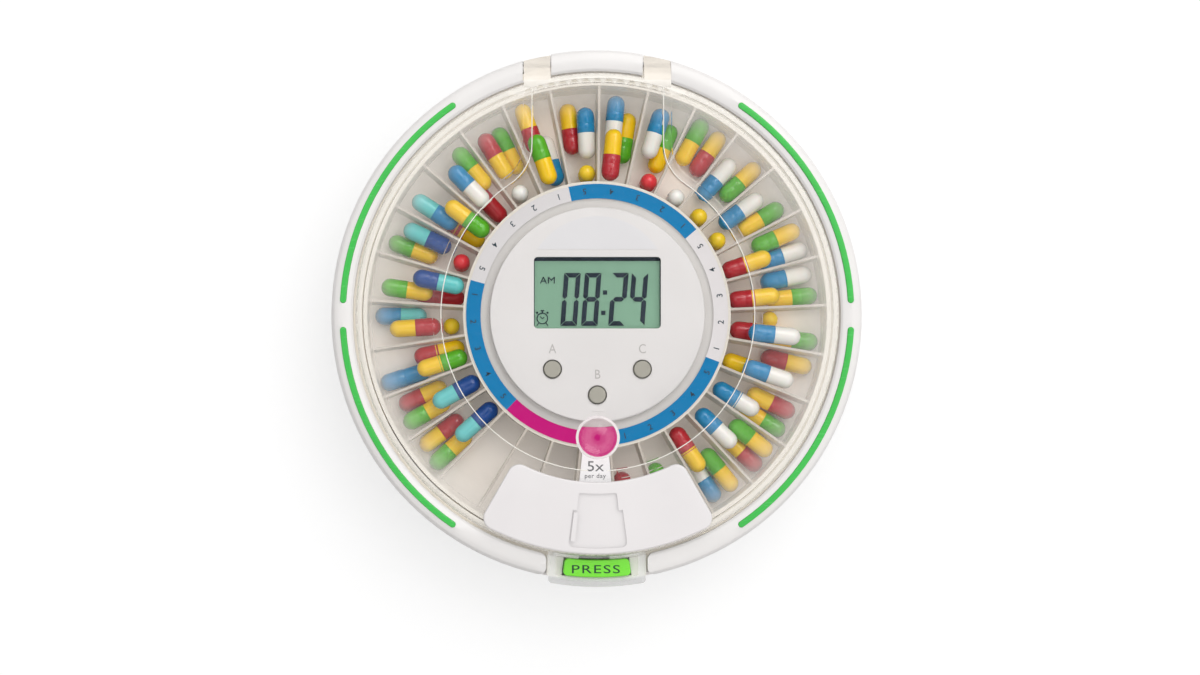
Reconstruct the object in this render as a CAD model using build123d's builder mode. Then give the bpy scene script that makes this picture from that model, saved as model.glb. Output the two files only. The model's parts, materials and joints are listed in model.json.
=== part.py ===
from build123d import *
import os
from math import asin, cos, degrees, hypot, radians, sin

os.makedirs("parts", exist_ok=True)

# Electronic pill box: a round automatic dispenser that lies flat, display up.
# Millimetres. The hub axis is Z, the feet stand on Z = 0, the lid's hinge is towards +Y
# and the PRESS latch towards -Y.

# Base and rim
RIM_R = 110.0
RIM_INNER_R = 101.0
RIM_PEAK_R = 105.3
RIM_TOP = 46.0
RIM_SEAT = 38.0
RIM_LIP_R = 107.0
BASE_BOTTOM = 1.5
BASE_WALL = 2.2
FLOOR_TOP = BASE_BOTTOM + BASE_WALL

# Light strips let into the rim, one in each quarter
STRIP_R = 105.1
STRIP_W = 2.6
STRIP_START = 3.4
STRIP_SPAN = 52.0
STRIP_BOTTOM = 41.6
STRIP_TOP = 46.2
LIGHT_BOARD_HALF_W = 1.3

# Inner pan: its deck carries the tray, an outer wall with a flange, and the hub tower
DECK_Z = 19.5
DECK_TOP = 21.0
PAN_IN_R = 97.2
PAN_OUT_R = 98.7
FLANGE_Z = 38.5
FLANGE_TOP = 40.0
FLANGE_R = 106.8
HINGE_CLEAR_R = 105.2
LATCH_GAP_W = 36.0
TOWER_IN_R = 41.5
TOWER_OUT_R = 43.3
TOWER_FLOOR = 22.4
TOWER_TOP = 43.0

# Pill tray: one cell for each dose of four weeks, and a home cell
CELLS = 29
CELL_PITCH = 360 / CELLS
TRAY_TURN = -0.6
CELL_WALL = 1.0
TRAY_BOTTOM = 22.6
TRAY_FLOOR = 24.2
TRAY_TOP = 45.7
TRAY_HUB_IN = 49.0
CELL_IN = 55.3
CELL_IN_WALL = 1.4
CELL_OUT = 94.9
TRAY_OUT_R = 96.6

# Tray drive: a ring gear inside the tray and a pinion on the motor
MODULE = 1.0
RING_TEETH = 100
PINION_TEETH = 12
PINION_Y = MODULE * (RING_TEETH - PINION_TEETH) / 2
TOOTH_HALF = 0.60
SHAFT_R = 1.5

# Dose ring
DOSE_IN_R = 48.1
DOSE_OUT_R = 54.1
DOSE_TOP = TRAY_TOP + 0.8
TAB_HALF_ANGLE = 5.5
TAB_END_R = 88.0

# Hub
HUB_R = 44.3
HUB_TOP = 49.0
HUB_SKIN = 1.8
HUB_LEDGE_R = 48.6
HUB_LEDGE_TOP = 45.4
WINDOW_W = 52.3
WINDOW_H = 29.5
WINDOW_Y = 9.0
WINDOW_CORNER = 1.6
BUTTON_R = 3.7
BUTTON_TRAVEL = 0.9
BUTTON_PLACES = {"a": (-18.5, -22.5), "b": (0.0, -33.1), "c": (18.5, -22.5)}
PCB_R = 38.0
PCB_Z = 38.6
PCB_TOP = 40.2
POST_R = 34.5
POST_ANGLES = (8, 172, 222, 318)

# Lid
LID_R = 99.7
LID_SKIRT = 1.5
LID_BOTTOM = 41.0
LID_TOP = 50.0
LID_SHEET = 1.7
LID_EDGE_FILLET = 2.6
RAISED_TOP = 52.4
RAISED_R = 64.4
RAISED_SLOPE = 3.7
RAISED_END_R = 96.9
NECK_HALF = 27.0
NECK_FILLET = 20.0
HINGE_Y = 104.2
HINGE_Z = 42.9
KNUCKLE_R = 2.7
HINGE_PIN_R = 1.0
PIN_START_X = 15.2
PIN_LENGTH = 16.0
ARM_X = 24.8
ARM_W = 11.0
ARM_END_R = 109.2
TONGUE_HALF = 20.1
TONGUE_WINDOW_HALF = 17.0
TONGUE_WINDOW_R = 108.9
TONGUE_R = 112.4
LENS_Y = -50.7
LENS_R = 7.9
LENS_FLANGE_R = 9.0
LENS_TOP = 56.0

# Dispensing plate and its sliding door
PLATE_IN_R = 69.0
PLATE_OUT_R = 98.6
PLATE_HALF_ANGLE = 29.7
PLATE_TOP = 52.6
MOUTH_IN_R = 73.7
MOUTH_STEP_R = 81.0
MOUTH_OUT_R = 96.2
MOUTH_NECK_ANGLE = 6.05
MOUTH_HALF_ANGLE = 7.3
DOOR_IN_R = 72.0
DOOR_OUT_R = 96.9
DOOR_TRAVEL = 12.8

# Latch
PRESS_IN_R = 101.0
PRESS_OUT_R = 108.4
PRESS_HALF_ANGLE = 7.5
PRESS_TOP = 46.4
PRESS_TRAVEL = 2.5

# Battery bay
CELL_R = 7.1
CELL_LENGTH = 50.0
CELL_STEP = 15.0
CELL_AXIS_Z = 11.0
BAY_X = 30.6
BAY_Y = 27.4
BAY_WALL = 1.4

# Pills
CAPSULE_R = 3.75
CAPSULE_LENGTH = 21.7
BALL_R = 3.5
PILL_GAP = 0.06


def polar(radius, angle):
    """A point in the plan view, from a radius and an angle in degrees."""
    return (radius * cos(radians(angle)), radius * sin(radians(angle)))


def ring_sector(inner, outer, start, end):
    """A ring segment between two radii and two angles."""
    with BuildSketch() as sector:
        with BuildLine():
            CenterArc((0, 0), outer, start, end - start)
            CenterArc((0, 0), inner, start, end - start)
            Line(polar(inner, start), polar(outer, start))
            Line(polar(inner, end), polar(outer, end))
        make_face()
    return sector.sketch


def ring(inner, outer):
    """A flat ring."""
    with BuildSketch() as flat:
        Circle(outer)
        Circle(inner, mode=Mode.SUBTRACT)
    return flat.sketch


def tooth(root, tip, pitch_radius):
    """One straight-flanked gear tooth that points along +X, 20 degree flanks."""
    slope = 0.364 if tip > root else -0.364
    half_root = TOOTH_HALF + (pitch_radius - root) * slope
    half_tip = TOOTH_HALF + (pitch_radius - tip) * slope
    with BuildSketch() as outline:
        with BuildLine():
            Polyline(
                (root, -half_root),
                (tip, -half_tip),
                (tip, half_tip),
                (root, half_root),
                close=True,
            )
        make_face()
    return outline.sketch


def keyhole(grow):
    """The lid's raised zone in plan: a circle over the hub and a neck to the hinge."""
    with BuildSketch() as outline:
        Circle(RAISED_R + grow)
        with Locations((0, LID_R / 2 + 1)):
            Rectangle(2 * (NECK_HALF + grow), LID_R + 2)
        corners = outline.vertices().filter_by(
            lambda v: abs(v.X) > 1 and RAISED_R * 0.7 < v.Y < LID_R - 2
        )
        fillet(corners, NECK_FILLET - grow)
    return outline.sketch


def raised_zone(grow, bottom, top, limit):
    """The raised zone as a solid with sloping sides, cut off at the lid's edge."""
    with BuildPart() as zone:
        with BuildSketch(Plane.XY.offset(bottom)):
            add(keyhole(grow + RAISED_SLOPE))
        with BuildSketch(Plane.XY.offset(top)):
            add(keyhole(grow))
        loft(ruled=True)
        with BuildSketch(Plane.XY.offset(bottom)):
            Circle(limit)
        extrude(amount=top - bottom, mode=Mode.INTERSECT)
    return zone.part


def mouth(grow):
    """The bottle-shaped dispensing opening in plan, with rounded corners."""
    turn = degrees(grow / MOUTH_OUT_R)
    with BuildSketch() as outline:
        add(
            ring_sector(
                MOUTH_IN_R - grow,
                MOUTH_STEP_R + 1,
                270 - MOUTH_NECK_ANGLE - turn,
                270 + MOUTH_NECK_ANGLE + turn,
            )
        )
        add(
            ring_sector(
                MOUTH_STEP_R - grow,
                MOUTH_OUT_R + grow,
                270 - MOUTH_HALF_ANGLE - turn,
                270 + MOUTH_HALF_ANGLE + turn,
            )
        )
        outer_corners = outline.vertices().filter_by(
            lambda v: hypot(v.X, v.Y) > MOUTH_OUT_R - 1
        )
        fillet(outer_corners, 2.2)
        inner_corners = outline.vertices().filter_by(
            lambda v: hypot(v.X, v.Y) < MOUTH_IN_R + 1
        )
        fillet(inner_corners, 1.0)
    return outline.sketch


# Base: a shallow bowl with a flat bottom
with BuildPart() as base_shell:
    with BuildSketch(Plane.XZ) as bowl:
        with BuildLine():
            Polyline(
                (0, BASE_BOTTOM),
                (98, BASE_BOTTOM),
                (107.2, 14),
                (108.5, RIM_SEAT),
                (106.3, RIM_SEAT),
                (105, 14.6),
                (97, FLOOR_TOP),
                (0, FLOOR_TOP),
                close=True,
            )
        make_face()
        fillet(bowl.vertices().filter_by(lambda v: 97.5 < v.X < 108 and v.Y < 14.3), 8)
        fillet(bowl.vertices().filter_by(lambda v: 96 < v.X < 106 and 3 < v.Y < 15), 6)
    revolve(axis=Axis.Z)
    # Bosses for the screws that hold the pan
    with BuildSketch(Plane.XY.offset(FLOOR_TOP - 0.5)):
        with PolarLocations(88, 6):
            Circle(4.2)
    extrude(amount=13.0 - FLOOR_TOP + 0.5)
    # Thick frame around the battery bay, and the bay's walls
    with BuildSketch(Plane.XY.offset(FLOOR_TOP - 0.5)):
        with Locations((0, -3)):
            Rectangle(74, 78)
    extrude(amount=2.2)
    with BuildSketch(Plane.XY.offset(FLOOR_TOP + 1)):
        Rectangle(2 * (BAY_X + BAY_WALL), 2 * (BAY_Y + BAY_WALL))
    extrude(amount=DECK_Z - 0.2 - FLOOR_TOP - 1)
    with BuildSketch(Plane.XY.offset(BASE_BOTTOM)):
        Rectangle(2 * BAY_X, 2 * BAY_Y)
    extrude(amount=DECK_Z, mode=Mode.SUBTRACT)
    # The door's recess, longer than the door so that it can slide, with side grooves
    with BuildSketch(Plane.XY.offset(BASE_BOTTOM)):
        with Locations((0, -3.5)):
            Rectangle(66, 70)
    extrude(amount=1.9, mode=Mode.SUBTRACT)
    with BuildSketch(Plane.XY.offset(BASE_BOTTOM + 0.8)):
        with Locations((0, -3.5)):
            Rectangle(69.2, 70)
    extrude(amount=1.1, mode=Mode.SUBTRACT)
    # Foot pockets
    with BuildSketch(Plane.XY.offset(BASE_BOTTOM)):
        with PolarLocations(85, 4, start_angle=45):
            Circle(7.1)
    extrude(amount=0.5, mode=Mode.SUBTRACT)
    # Screw holes from below
    with BuildSketch(Plane.XY.offset(BASE_BOTTOM)):
        with PolarLocations(88, 6):
            Circle(3.3)
    extrude(amount=5.0, mode=Mode.SUBTRACT)
    with BuildSketch(Plane.XY.offset(BASE_BOTTOM)):
        with PolarLocations(88, 6):
            Circle(1.7)
    extrude(amount=13.0, mode=Mode.SUBTRACT)
base_shell.part.label = "base_shell"
export_step(base_shell.part, "parts/base_shell.step")

# Four rubber feet, let half a millimetre into the base
with BuildPart() as rubber_feet:
    with BuildSketch():
        with PolarLocations(85, 4, start_angle=45):
            Circle(7.0)
    extrude(amount=BASE_BOTTOM + 0.5)
    fillet(rubber_feet.edges().group_by(Axis.Z)[0], 0.6)
rubber_feet.part.label = "rubber_feet"
export_step(rubber_feet.part, "parts/rubber_feet.step")

# Six screws that hold the base to the pan
with BuildPart() as base_screws:
    with BuildSketch(Plane.XY.offset(4.6)):
        with PolarLocations(88, 6):
            Circle(3.0)
    extrude(amount=1.9)
    with BuildSketch(Plane.XY.offset(4.6)):
        with PolarLocations(88, 6):
            RectangleRounded(3.4, 0.7, 0.3)
            RectangleRounded(0.7, 3.4, 0.3)
    extrude(amount=1.0, mode=Mode.SUBTRACT)
    with BuildSketch(Plane.XY.offset(6.5)):
        with PolarLocations(88, 6):
            Circle(1.45)
    extrude(amount=11.0)
base_screws.part.label = "base_screws"
export_step(base_screws.part, "parts/base_screws.step")

# Battery door: slides towards the front in its grooves and then lifts off
with BuildPart() as battery_door:
    with BuildSketch(Plane.XY.offset(BASE_BOTTOM + 0.1)):
        with Locations((0, 1)):
            Rectangle(65.4, 60.6)
    extrude(amount=1.6)
    with BuildSketch(Plane.XY.offset(BASE_BOTTOM + 1.0)):
        with Locations((0, 1)):
            Rectangle(68.6, 60.6)
    extrude(amount=0.7)
    # Finger ribs across the front end
    with BuildSketch(Plane.XY.offset(BASE_BOTTOM + 0.1)):
        with GridLocations(0, 2.4, 1, 5):
            Rectangle(26, 1.0)
    extrude(amount=0.4, mode=Mode.SUBTRACT)
battery_door.part.label = "battery_door"
export_step(battery_door.part, "parts/battery_door.step")

# Four AA cells, nub at alternate ends
with BuildPart() as aa_cells:
    for number in range(4):
        cell_x = (number - 1.5) * CELL_STEP
        nub_way = 1 if number % 2 else -1
        with BuildSketch(Plane((cell_x, -nub_way * CELL_LENGTH / 2, CELL_AXIS_Z), z_dir=(0, nub_way, 0))):
            Circle(CELL_R)
        extrude(amount=CELL_LENGTH - 1.2)
        with BuildSketch(Plane((cell_x, -nub_way * CELL_LENGTH / 2, CELL_AXIS_Z), z_dir=(0, nub_way, 0))):
            Circle(2.7)
        extrude(amount=CELL_LENGTH)
aa_cells.part.label = "aa_cells"
export_step(aa_cells.part, "parts/aa_cells.step")

# Leaf contacts at both ends of each cell, bent like a flat V
with BuildPart() as battery_contacts:
    for number in range(4):
        cell_x = (number - 1.5) * CELL_STEP
        for side in (-1, 1):
            with BuildSketch(Plane.XY.offset(8)):
                with BuildLine():
                    Polyline(
                        (cell_x - 5.0, side * BAY_Y),
                        (cell_x, side * (CELL_LENGTH / 2 + 0.02)),
                        (cell_x + 5.0, side * BAY_Y),
                        (cell_x + 4.2, side * BAY_Y),
                        (cell_x, side * (CELL_LENGTH / 2 + 0.42)),
                        (cell_x - 4.2, side * BAY_Y),
                        close=True,
                    )
                make_face()
            extrude(amount=6)
battery_contacts.part.label = "battery_contacts"
export_step(battery_contacts.part, "parts/battery_contacts.step")

# Rim: the visible white ring, with a facet that peaks under the light strips
with BuildPart() as rim_ring:
    with BuildSketch(Plane.XZ) as rim_section:
        with BuildLine():
            Polyline(
                (RIM_R, 34),
                (RIM_R, 42.6),
                (108.8, 44.9),
                (RIM_PEAK_R, RIM_TOP),
                (101.9, 45.3),
                (RIM_INNER_R, 44.6),
                (RIM_INNER_R, FLANGE_TOP),
                (RIM_LIP_R, FLANGE_TOP),
                (RIM_LIP_R, RIM_SEAT),
                (108.6, RIM_SEAT),
                (108.6, 34),
                close=True,
            )
        make_face()
        fillet(rim_section.vertices().filter_by(lambda v: v.X > 108.7 and v.Y > 42), 1.0)
        fillet(rim_section.vertices().filter_by(lambda v: v.X < 102 and v.Y > 45), 0.5)
    revolve(axis=Axis.Z)
    # Channels for the light boards and slots for the strips above them
    with BuildSketch(Plane.XY.offset(FLANGE_TOP)):
        for quarter in range(4):
            mirrored = quarter % 2
            start = 90 * quarter + (90 - STRIP_START - STRIP_SPAN if mirrored else STRIP_START)
            add(ring_sector(STRIP_R - 1.6, STRIP_R + 1.6, start - 1, start + STRIP_SPAN + 1))
    extrude(amount=1.6, mode=Mode.SUBTRACT)
    with BuildSketch(Plane.XY.offset(FLANGE_TOP)):
        for quarter in range(4):
            mirrored = quarter % 2
            start = 90 * quarter + (90 - STRIP_START - STRIP_SPAN if mirrored else STRIP_START)
            SlotArc(CenterArc((0, 0), STRIP_R, start, STRIP_SPAN), STRIP_W + 0.1)
    extrude(amount=8, mode=Mode.SUBTRACT)
    # Notches for the hinge arms, right across the rim
    with BuildSketch(Plane.XY.offset(38.9)):
        with Locations((-ARM_X, 105), (ARM_X, 105)):
            Rectangle(ARM_W + 0.8, 16)
    extrude(amount=10, mode=Mode.SUBTRACT)
    # Notch for the latch, with rounded ends in plan
    with BuildSketch(Plane.XY.offset(RIM_SEAT), mode=Mode.PRIVATE) as latch_notch:
        add(ring(RIM_INNER_R, RIM_R))
        with Locations((0, -106)):
            Rectangle(42, 20, mode=Mode.SUBTRACT)
        fillet(latch_notch.vertices().sort_by(Axis.Y)[:4], 3.0)
        with Locations((0, -105)):
            Rectangle(52, 16, mode=Mode.INTERSECT)
    with BuildSketch(Plane.XY.offset(RIM_SEAT)):
        with Locations((0, -105)):
            Rectangle(52, 16)
        add(latch_notch.sketch, mode=Mode.SUBTRACT)
    extrude(amount=10, mode=Mode.SUBTRACT)
    # Holes for the two hinge pins
    for side in (-1, 1):
        with BuildSketch(Plane((side * PIN_START_X, HINGE_Y, HINGE_Z), z_dir=(side, 0, 0))):
            Circle(HINGE_PIN_R)
        extrude(amount=PIN_LENGTH, mode=Mode.SUBTRACT)
rim_ring.part.label = "rim_ring"
export_step(rim_ring.part, "parts/rim_ring.step")

# Two steel hinge pins, fixed in the rim
with BuildPart() as hinge_pins:
    for side in (-1, 1):
        with BuildSketch(Plane((side * PIN_START_X, HINGE_Y, HINGE_Z), z_dir=(side, 0, 0))):
            Circle(HINGE_PIN_R)
        extrude(amount=PIN_LENGTH)
hinge_pins.part.label = "hinge_pins"
export_step(hinge_pins.part, "parts/hinge_pins.step")

# Light strips, one node each, and the light boards under them
STRIP_NAMES = ("right_rear", "left_rear", "left_front", "right_front")
for quarter, strip_name in enumerate(STRIP_NAMES):
    mirrored = quarter % 2
    start = 90 * quarter + (90 - STRIP_START - STRIP_SPAN if mirrored else STRIP_START)
    with BuildPart() as strip:
        with BuildSketch(Plane.XY.offset(STRIP_BOTTOM)):
            SlotArc(CenterArc((0, 0), STRIP_R, start, STRIP_SPAN), STRIP_W)
        extrude(amount=STRIP_TOP - STRIP_BOTTOM)
        fillet(strip.edges().group_by(Axis.Z)[-1], 0.5)
    strip.part.label = f"light_strip_{strip_name}"
    export_step(strip.part, f"parts/light_strip_{strip_name}.step")

with BuildPart() as light_boards:
    for quarter in range(4):
        mirrored = quarter % 2
        start = 90 * quarter + (90 - STRIP_START - STRIP_SPAN if mirrored else STRIP_START)
        with BuildSketch(Plane.XY.offset(FLANGE_TOP)):
            inner, outer = STRIP_R - LIGHT_BOARD_HALF_W, STRIP_R + LIGHT_BOARD_HALF_W
            add(ring_sector(inner, outer, start, start + STRIP_SPAN))
        extrude(amount=0.8)
        with BuildSketch(Plane.XY.offset(FLANGE_TOP + 0.8)):
            with PolarLocations(STRIP_R, 7, start_angle=start + 3, angular_range=STRIP_SPAN - 6):
                Rectangle(1.6, 2.8)
        extrude(amount=0.7)
light_boards.part.label = "light_boards"
export_step(light_boards.part, "parts/light_boards.step")

# Pan wall: the outer wall of the tray's well, with the flange that the rim sits on
with BuildPart() as pan_wall:
    with BuildSketch(Plane.XY.offset(DECK_TOP)):
        add(ring(PAN_IN_R, PAN_OUT_R))
    extrude(amount=FLANGE_TOP - DECK_TOP)
    with BuildSketch(Plane.XY.offset(FLANGE_Z)):
        add(ring(PAN_OUT_R - 0.2, FLANGE_R))
    extrude(amount=FLANGE_TOP - FLANGE_Z)
    # The flange is open where the latch works
    with BuildSketch(Plane.XY.offset(FLANGE_Z)) as latch_gap:
        add(ring(PAN_OUT_R, 107))
        with Locations((0, -103)):
            Rectangle(LATCH_GAP_W, 16, mode=Mode.INTERSECT)
    extrude(amount=FLANGE_TOP - FLANGE_Z, mode=Mode.SUBTRACT)
    # It is cut back at the rear, where the hinge arms turn down past it
    with BuildSketch(Plane.XY.offset(FLANGE_Z)) as hinge_gap:
        add(ring(HINGE_CLEAR_R, FLANGE_R + 1))
        with Locations((0, HINGE_Y)):
            Rectangle(2 * ARM_X + ARM_W + 4, 16, mode=Mode.INTERSECT)
    extrude(amount=FLANGE_TOP - FLANGE_Z, mode=Mode.SUBTRACT)
pan_wall.part.label = "pan_wall"
export_step(pan_wall.part, "parts/pan_wall.step")

# Hub tower: a cup on the deck that carries the hub cover, with posts for the main board
with BuildPart() as hub_tower:
    with BuildSketch(Plane.XY.offset(DECK_TOP)):
        Circle(TOWER_OUT_R)
    extrude(amount=TOWER_FLOOR - DECK_TOP)
    with BuildSketch(Plane.XY.offset(TOWER_FLOOR)):
        add(ring(TOWER_IN_R, TOWER_OUT_R))
    extrude(amount=TOWER_TOP - TOWER_FLOOR)
    with BuildSketch(Plane.XY.offset(TOWER_FLOOR)):
        for post_angle in POST_ANGLES:
            with Locations(polar(POST_R, post_angle)):
                Circle(2.5)
    extrude(amount=PCB_Z - TOWER_FLOOR)
    with BuildSketch(Plane.XY.offset(30)):
        for post_angle in POST_ANGLES:
            with Locations(polar(POST_R, post_angle)):
                Circle(1.15)
    extrude(amount=PCB_Z - 30, mode=Mode.SUBTRACT)
    # Window for the pinion, and holes for the battery leads
    with BuildSketch(Plane.XY.offset(DECK_TOP)):
        with Locations((0, PINION_Y)):
            Rectangle(20, 16)
    extrude(amount=7.6, mode=Mode.SUBTRACT)
    with BuildSketch(Plane.XY.offset(DECK_TOP)):
        with Locations((-24, 32), (24, 32)):
            Circle(1.2)
    extrude(amount=TOWER_FLOOR - DECK_TOP, mode=Mode.SUBTRACT)
hub_tower.part.label = "hub_tower"
export_step(hub_tower.part, "parts/hub_tower.step")

# Inner pan: the deck, with rails and a collar for the tray
with BuildPart() as inner_pan:
    with BuildSketch(Plane.XY.offset(DECK_Z)):
        Circle(PAN_OUT_R)
    extrude(amount=DECK_TOP - DECK_Z)
    # Rails that the tray glides on
    with BuildSketch(Plane.XY.offset(DECK_TOP)):
        add(ring(60, 61.4))
        add(ring(88, 89.4))
    extrude(amount=1.4)
    # Collar that centres the tray by its ring gear
    with BuildSketch(Plane.XY.offset(DECK_TOP)):
        add(ring(47, 48.6))
    extrude(amount=7)
    # Window in the collar for the pinion
    with BuildSketch(Plane.XY.offset(DECK_TOP)):
        with Locations((0, PINION_Y)):
            Rectangle(20, 16)
    extrude(amount=7.6, mode=Mode.SUBTRACT)
    # Bosses under the deck for the base screws
    with BuildSketch(Plane.XY.offset(13)):
        with PolarLocations(88, 6):
            Circle(3.8)
    extrude(amount=DECK_Z - 13)
    with BuildSketch(Plane.XY.offset(13)):
        with PolarLocations(88, 6):
            Circle(1.5)
    extrude(amount=5, mode=Mode.SUBTRACT)
    # Pads that the motor hangs from, with screw holes
    with BuildSketch(Plane.XY.offset(18.6)):
        with Locations((-17.5, 50), (17.5, 50)):
            Circle(3)
    extrude(amount=DECK_Z - 18.6)
    with BuildSketch(Plane.XY.offset(18.6)):
        with Locations((-17.5, 50), (17.5, 50)):
            Circle(1.1)
    extrude(amount=1.8, mode=Mode.SUBTRACT)
    # Holes for the motor shaft and the battery leads
    with BuildSketch(Plane.XY.offset(DECK_Z)):
        with Locations((0, PINION_Y)):
            Circle(4.7)
        with Locations((-24, 32), (24, 32)):
            Circle(1.2)
    extrude(amount=DECK_TOP - DECK_Z, mode=Mode.SUBTRACT)
inner_pan.part.label = "inner_pan"
export_step(inner_pan.part, "parts/inner_pan.step")

# Drive motor: a flat stepper with an offset output boss, hung under the deck
with BuildPart() as drive_motor:
    with BuildSketch(Plane.XY.offset(4.6)):
        with Locations((0, 50)):
            Circle(12)
    extrude(amount=13)
    with BuildSketch(Plane.XY.offset(17.6)):
        with Locations((0, 50)):
            SlotOverall(42, 7)
            Circle(12)
        with Locations((-17.5, 50), (17.5, 50)):
            Circle(1.1, mode=Mode.SUBTRACT)
    extrude(amount=1.0)
    with BuildSketch(Plane.XY.offset(18.6)):
        with Locations((0, PINION_Y)):
            Circle(4.5)
    extrude(amount=1.2)
    with BuildSketch(Plane.XY.offset(10)):
        with Locations((0, PINION_Y)):
            Circle(SHAFT_R + 0.06)
    extrude(amount=10, mode=Mode.SUBTRACT)
drive_motor.part.label = "drive_motor"
export_step(drive_motor.part, "parts/drive_motor.step")

with BuildPart() as motor_screws:
    with BuildSketch(Plane.XY.offset(16.2)):
        with Locations((-17.5, 50), (17.5, 50)):
            Circle(2.0)
    extrude(amount=1.4)
    with BuildSketch(Plane.XY.offset(17.6)):
        with Locations((-17.5, 50), (17.5, 50)):
            Circle(1.05)
    extrude(amount=2.6)
motor_screws.part.label = "motor_screws"
export_step(motor_screws.part, "parts/motor_screws.step")

# Drive pinion on the motor's shaft, in mesh with the tray's ring gear
with BuildPart() as drive_pinion:
    with BuildSketch(Plane.XY.offset(23.4)):
        with Locations((0, PINION_Y)):
            Circle(MODULE * PINION_TEETH / 2 - 1.25)
            with PolarLocations(0, PINION_TEETH, start_angle=90):
                add(tooth(MODULE * PINION_TEETH / 2 - 1.4, MODULE * PINION_TEETH / 2 + 0.8, 6.0))
    extrude(amount=4.2)
    with BuildSketch(Plane.XY.offset(21.4)):
        with Locations((0, PINION_Y)):
            Circle(3)
    extrude(amount=2)
    with BuildSketch(Plane.XY.offset(11)):
        with Locations((0, PINION_Y)):
            Circle(SHAFT_R)
    extrude(amount=17)
drive_pinion.part.label = "drive_pinion"
export_step(drive_pinion.part, "parts/drive_pinion.step")

# Pill tray: its floor with a pocket for the index magnet
MAGNET = polar(66, 200)
with BuildPart() as tray_floor:
    with BuildSketch(Plane.XY.offset(TRAY_BOTTOM)):
        add(ring(53.0, TRAY_OUT_R))
    extrude(amount=TRAY_FLOOR - TRAY_BOTTOM)
    with BuildSketch(Plane.XY.offset(TRAY_BOTTOM)):
        with Locations(MAGNET):
            Circle(2.05)
    extrude(amount=1.0, mode=Mode.SUBTRACT)
tray_floor.part.label = "tray_floor"
export_step(tray_floor.part, "parts/tray_floor.step")

# The tray's inner wall, with the shelf that carries the dose ring
with BuildPart() as tray_inner_wall:
    with BuildSketch(Plane.XZ):
        with BuildLine():
            Polyline(
                (CELL_IN, TRAY_FLOOR),
                (CELL_IN, TRAY_TOP),
                (TRAY_HUB_IN, TRAY_TOP),
                (TRAY_HUB_IN, TRAY_TOP - 1.3),
                (CELL_IN - CELL_IN_WALL, TRAY_TOP - 1.3),
                (CELL_IN - CELL_IN_WALL, TRAY_FLOOR),
                close=True,
            )
        make_face()
    revolve(axis=Axis.Z)
tray_inner_wall.part.label = "tray_inner_wall"
export_step(tray_inner_wall.part, "parts/tray_inner_wall.step")

with BuildPart() as tray_outer_wall:
    with BuildSketch(Plane.XY.offset(TRAY_FLOOR)):
        add(ring(CELL_OUT, TRAY_OUT_R))
    extrude(amount=TRAY_TOP - TRAY_FLOOR)
tray_outer_wall.part.label = "tray_outer_wall"
export_step(tray_outer_wall.part, "parts/tray_outer_wall.step")

# Dividers between the cells: the first one stands half a cell past the front
FIRST_DIVIDER = 270 + CELL_PITCH / 2 + TRAY_TURN
with BuildPart() as tray_dividers:
    with BuildSketch(Plane.XY.offset(TRAY_FLOOR)):
        with PolarLocations((CELL_IN + CELL_OUT) / 2, CELLS, start_angle=FIRST_DIVIDER):
            Rectangle(CELL_OUT - CELL_IN + 4, CELL_WALL)
        Circle(CELL_OUT, mode=Mode.INTERSECT)
        Circle(CELL_IN, mode=Mode.SUBTRACT)
    extrude(amount=TRAY_TOP - TRAY_FLOOR)
tray_dividers.part.label = "tray_dividers"
export_step(tray_dividers.part, "parts/tray_dividers.step")

# Ring gear inside the tray's hub, a tooth space in line with the pinion
with BuildPart() as tray_gear:
    with BuildSketch(Plane.XY.offset(TRAY_BOTTOM)):
        add(ring(51.25, 53.0))
        with PolarLocations(0, RING_TEETH, start_angle=90 + 180 / RING_TEETH):
            add(tooth(51.4, 49.2, 50.0))
    extrude(amount=5.0)
tray_gear.part.label = "tray_gear"
export_step(tray_gear.part, "parts/tray_gear.step")

with BuildPart() as index_magnet:
    with BuildSketch(Plane.XY.offset(TRAY_BOTTOM)):
        with Locations(MAGNET):
            Circle(2.0)
    extrude(amount=0.95)
index_magnet.part.label = "index_magnet"
export_step(index_magnet.part, "parts/index_magnet.step")

with BuildPart() as index_sensor:
    with BuildSketch(Plane.XY.offset(DECK_TOP)):
        with Locations(MAGNET):
            Rectangle(4, 3)
    extrude(amount=1.0)
index_sensor.part.label = "index_sensor"
export_step(index_sensor.part, "parts/index_sensor.step")

# Dose ring: a printed ring on the tray's shelf, with a tab over the home cell
with BuildPart() as dose_ring:
    with BuildSketch(Plane.XY.offset(TRAY_TOP)):
        add(ring(DOSE_IN_R, DOSE_OUT_R))
        tab_centre = 270 + TRAY_TURN
        add(
            ring_sector(
                DOSE_OUT_R - 1,
                TAB_END_R,
                tab_centre - TAB_HALF_ANGLE,
                tab_centre + TAB_HALF_ANGLE,
            )
        )
    extrude(amount=DOSE_TOP - TRAY_TOP)
dose_ring.part.label = "dose_ring"
export_step(dose_ring.part, "parts/dose_ring.step")

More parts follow.
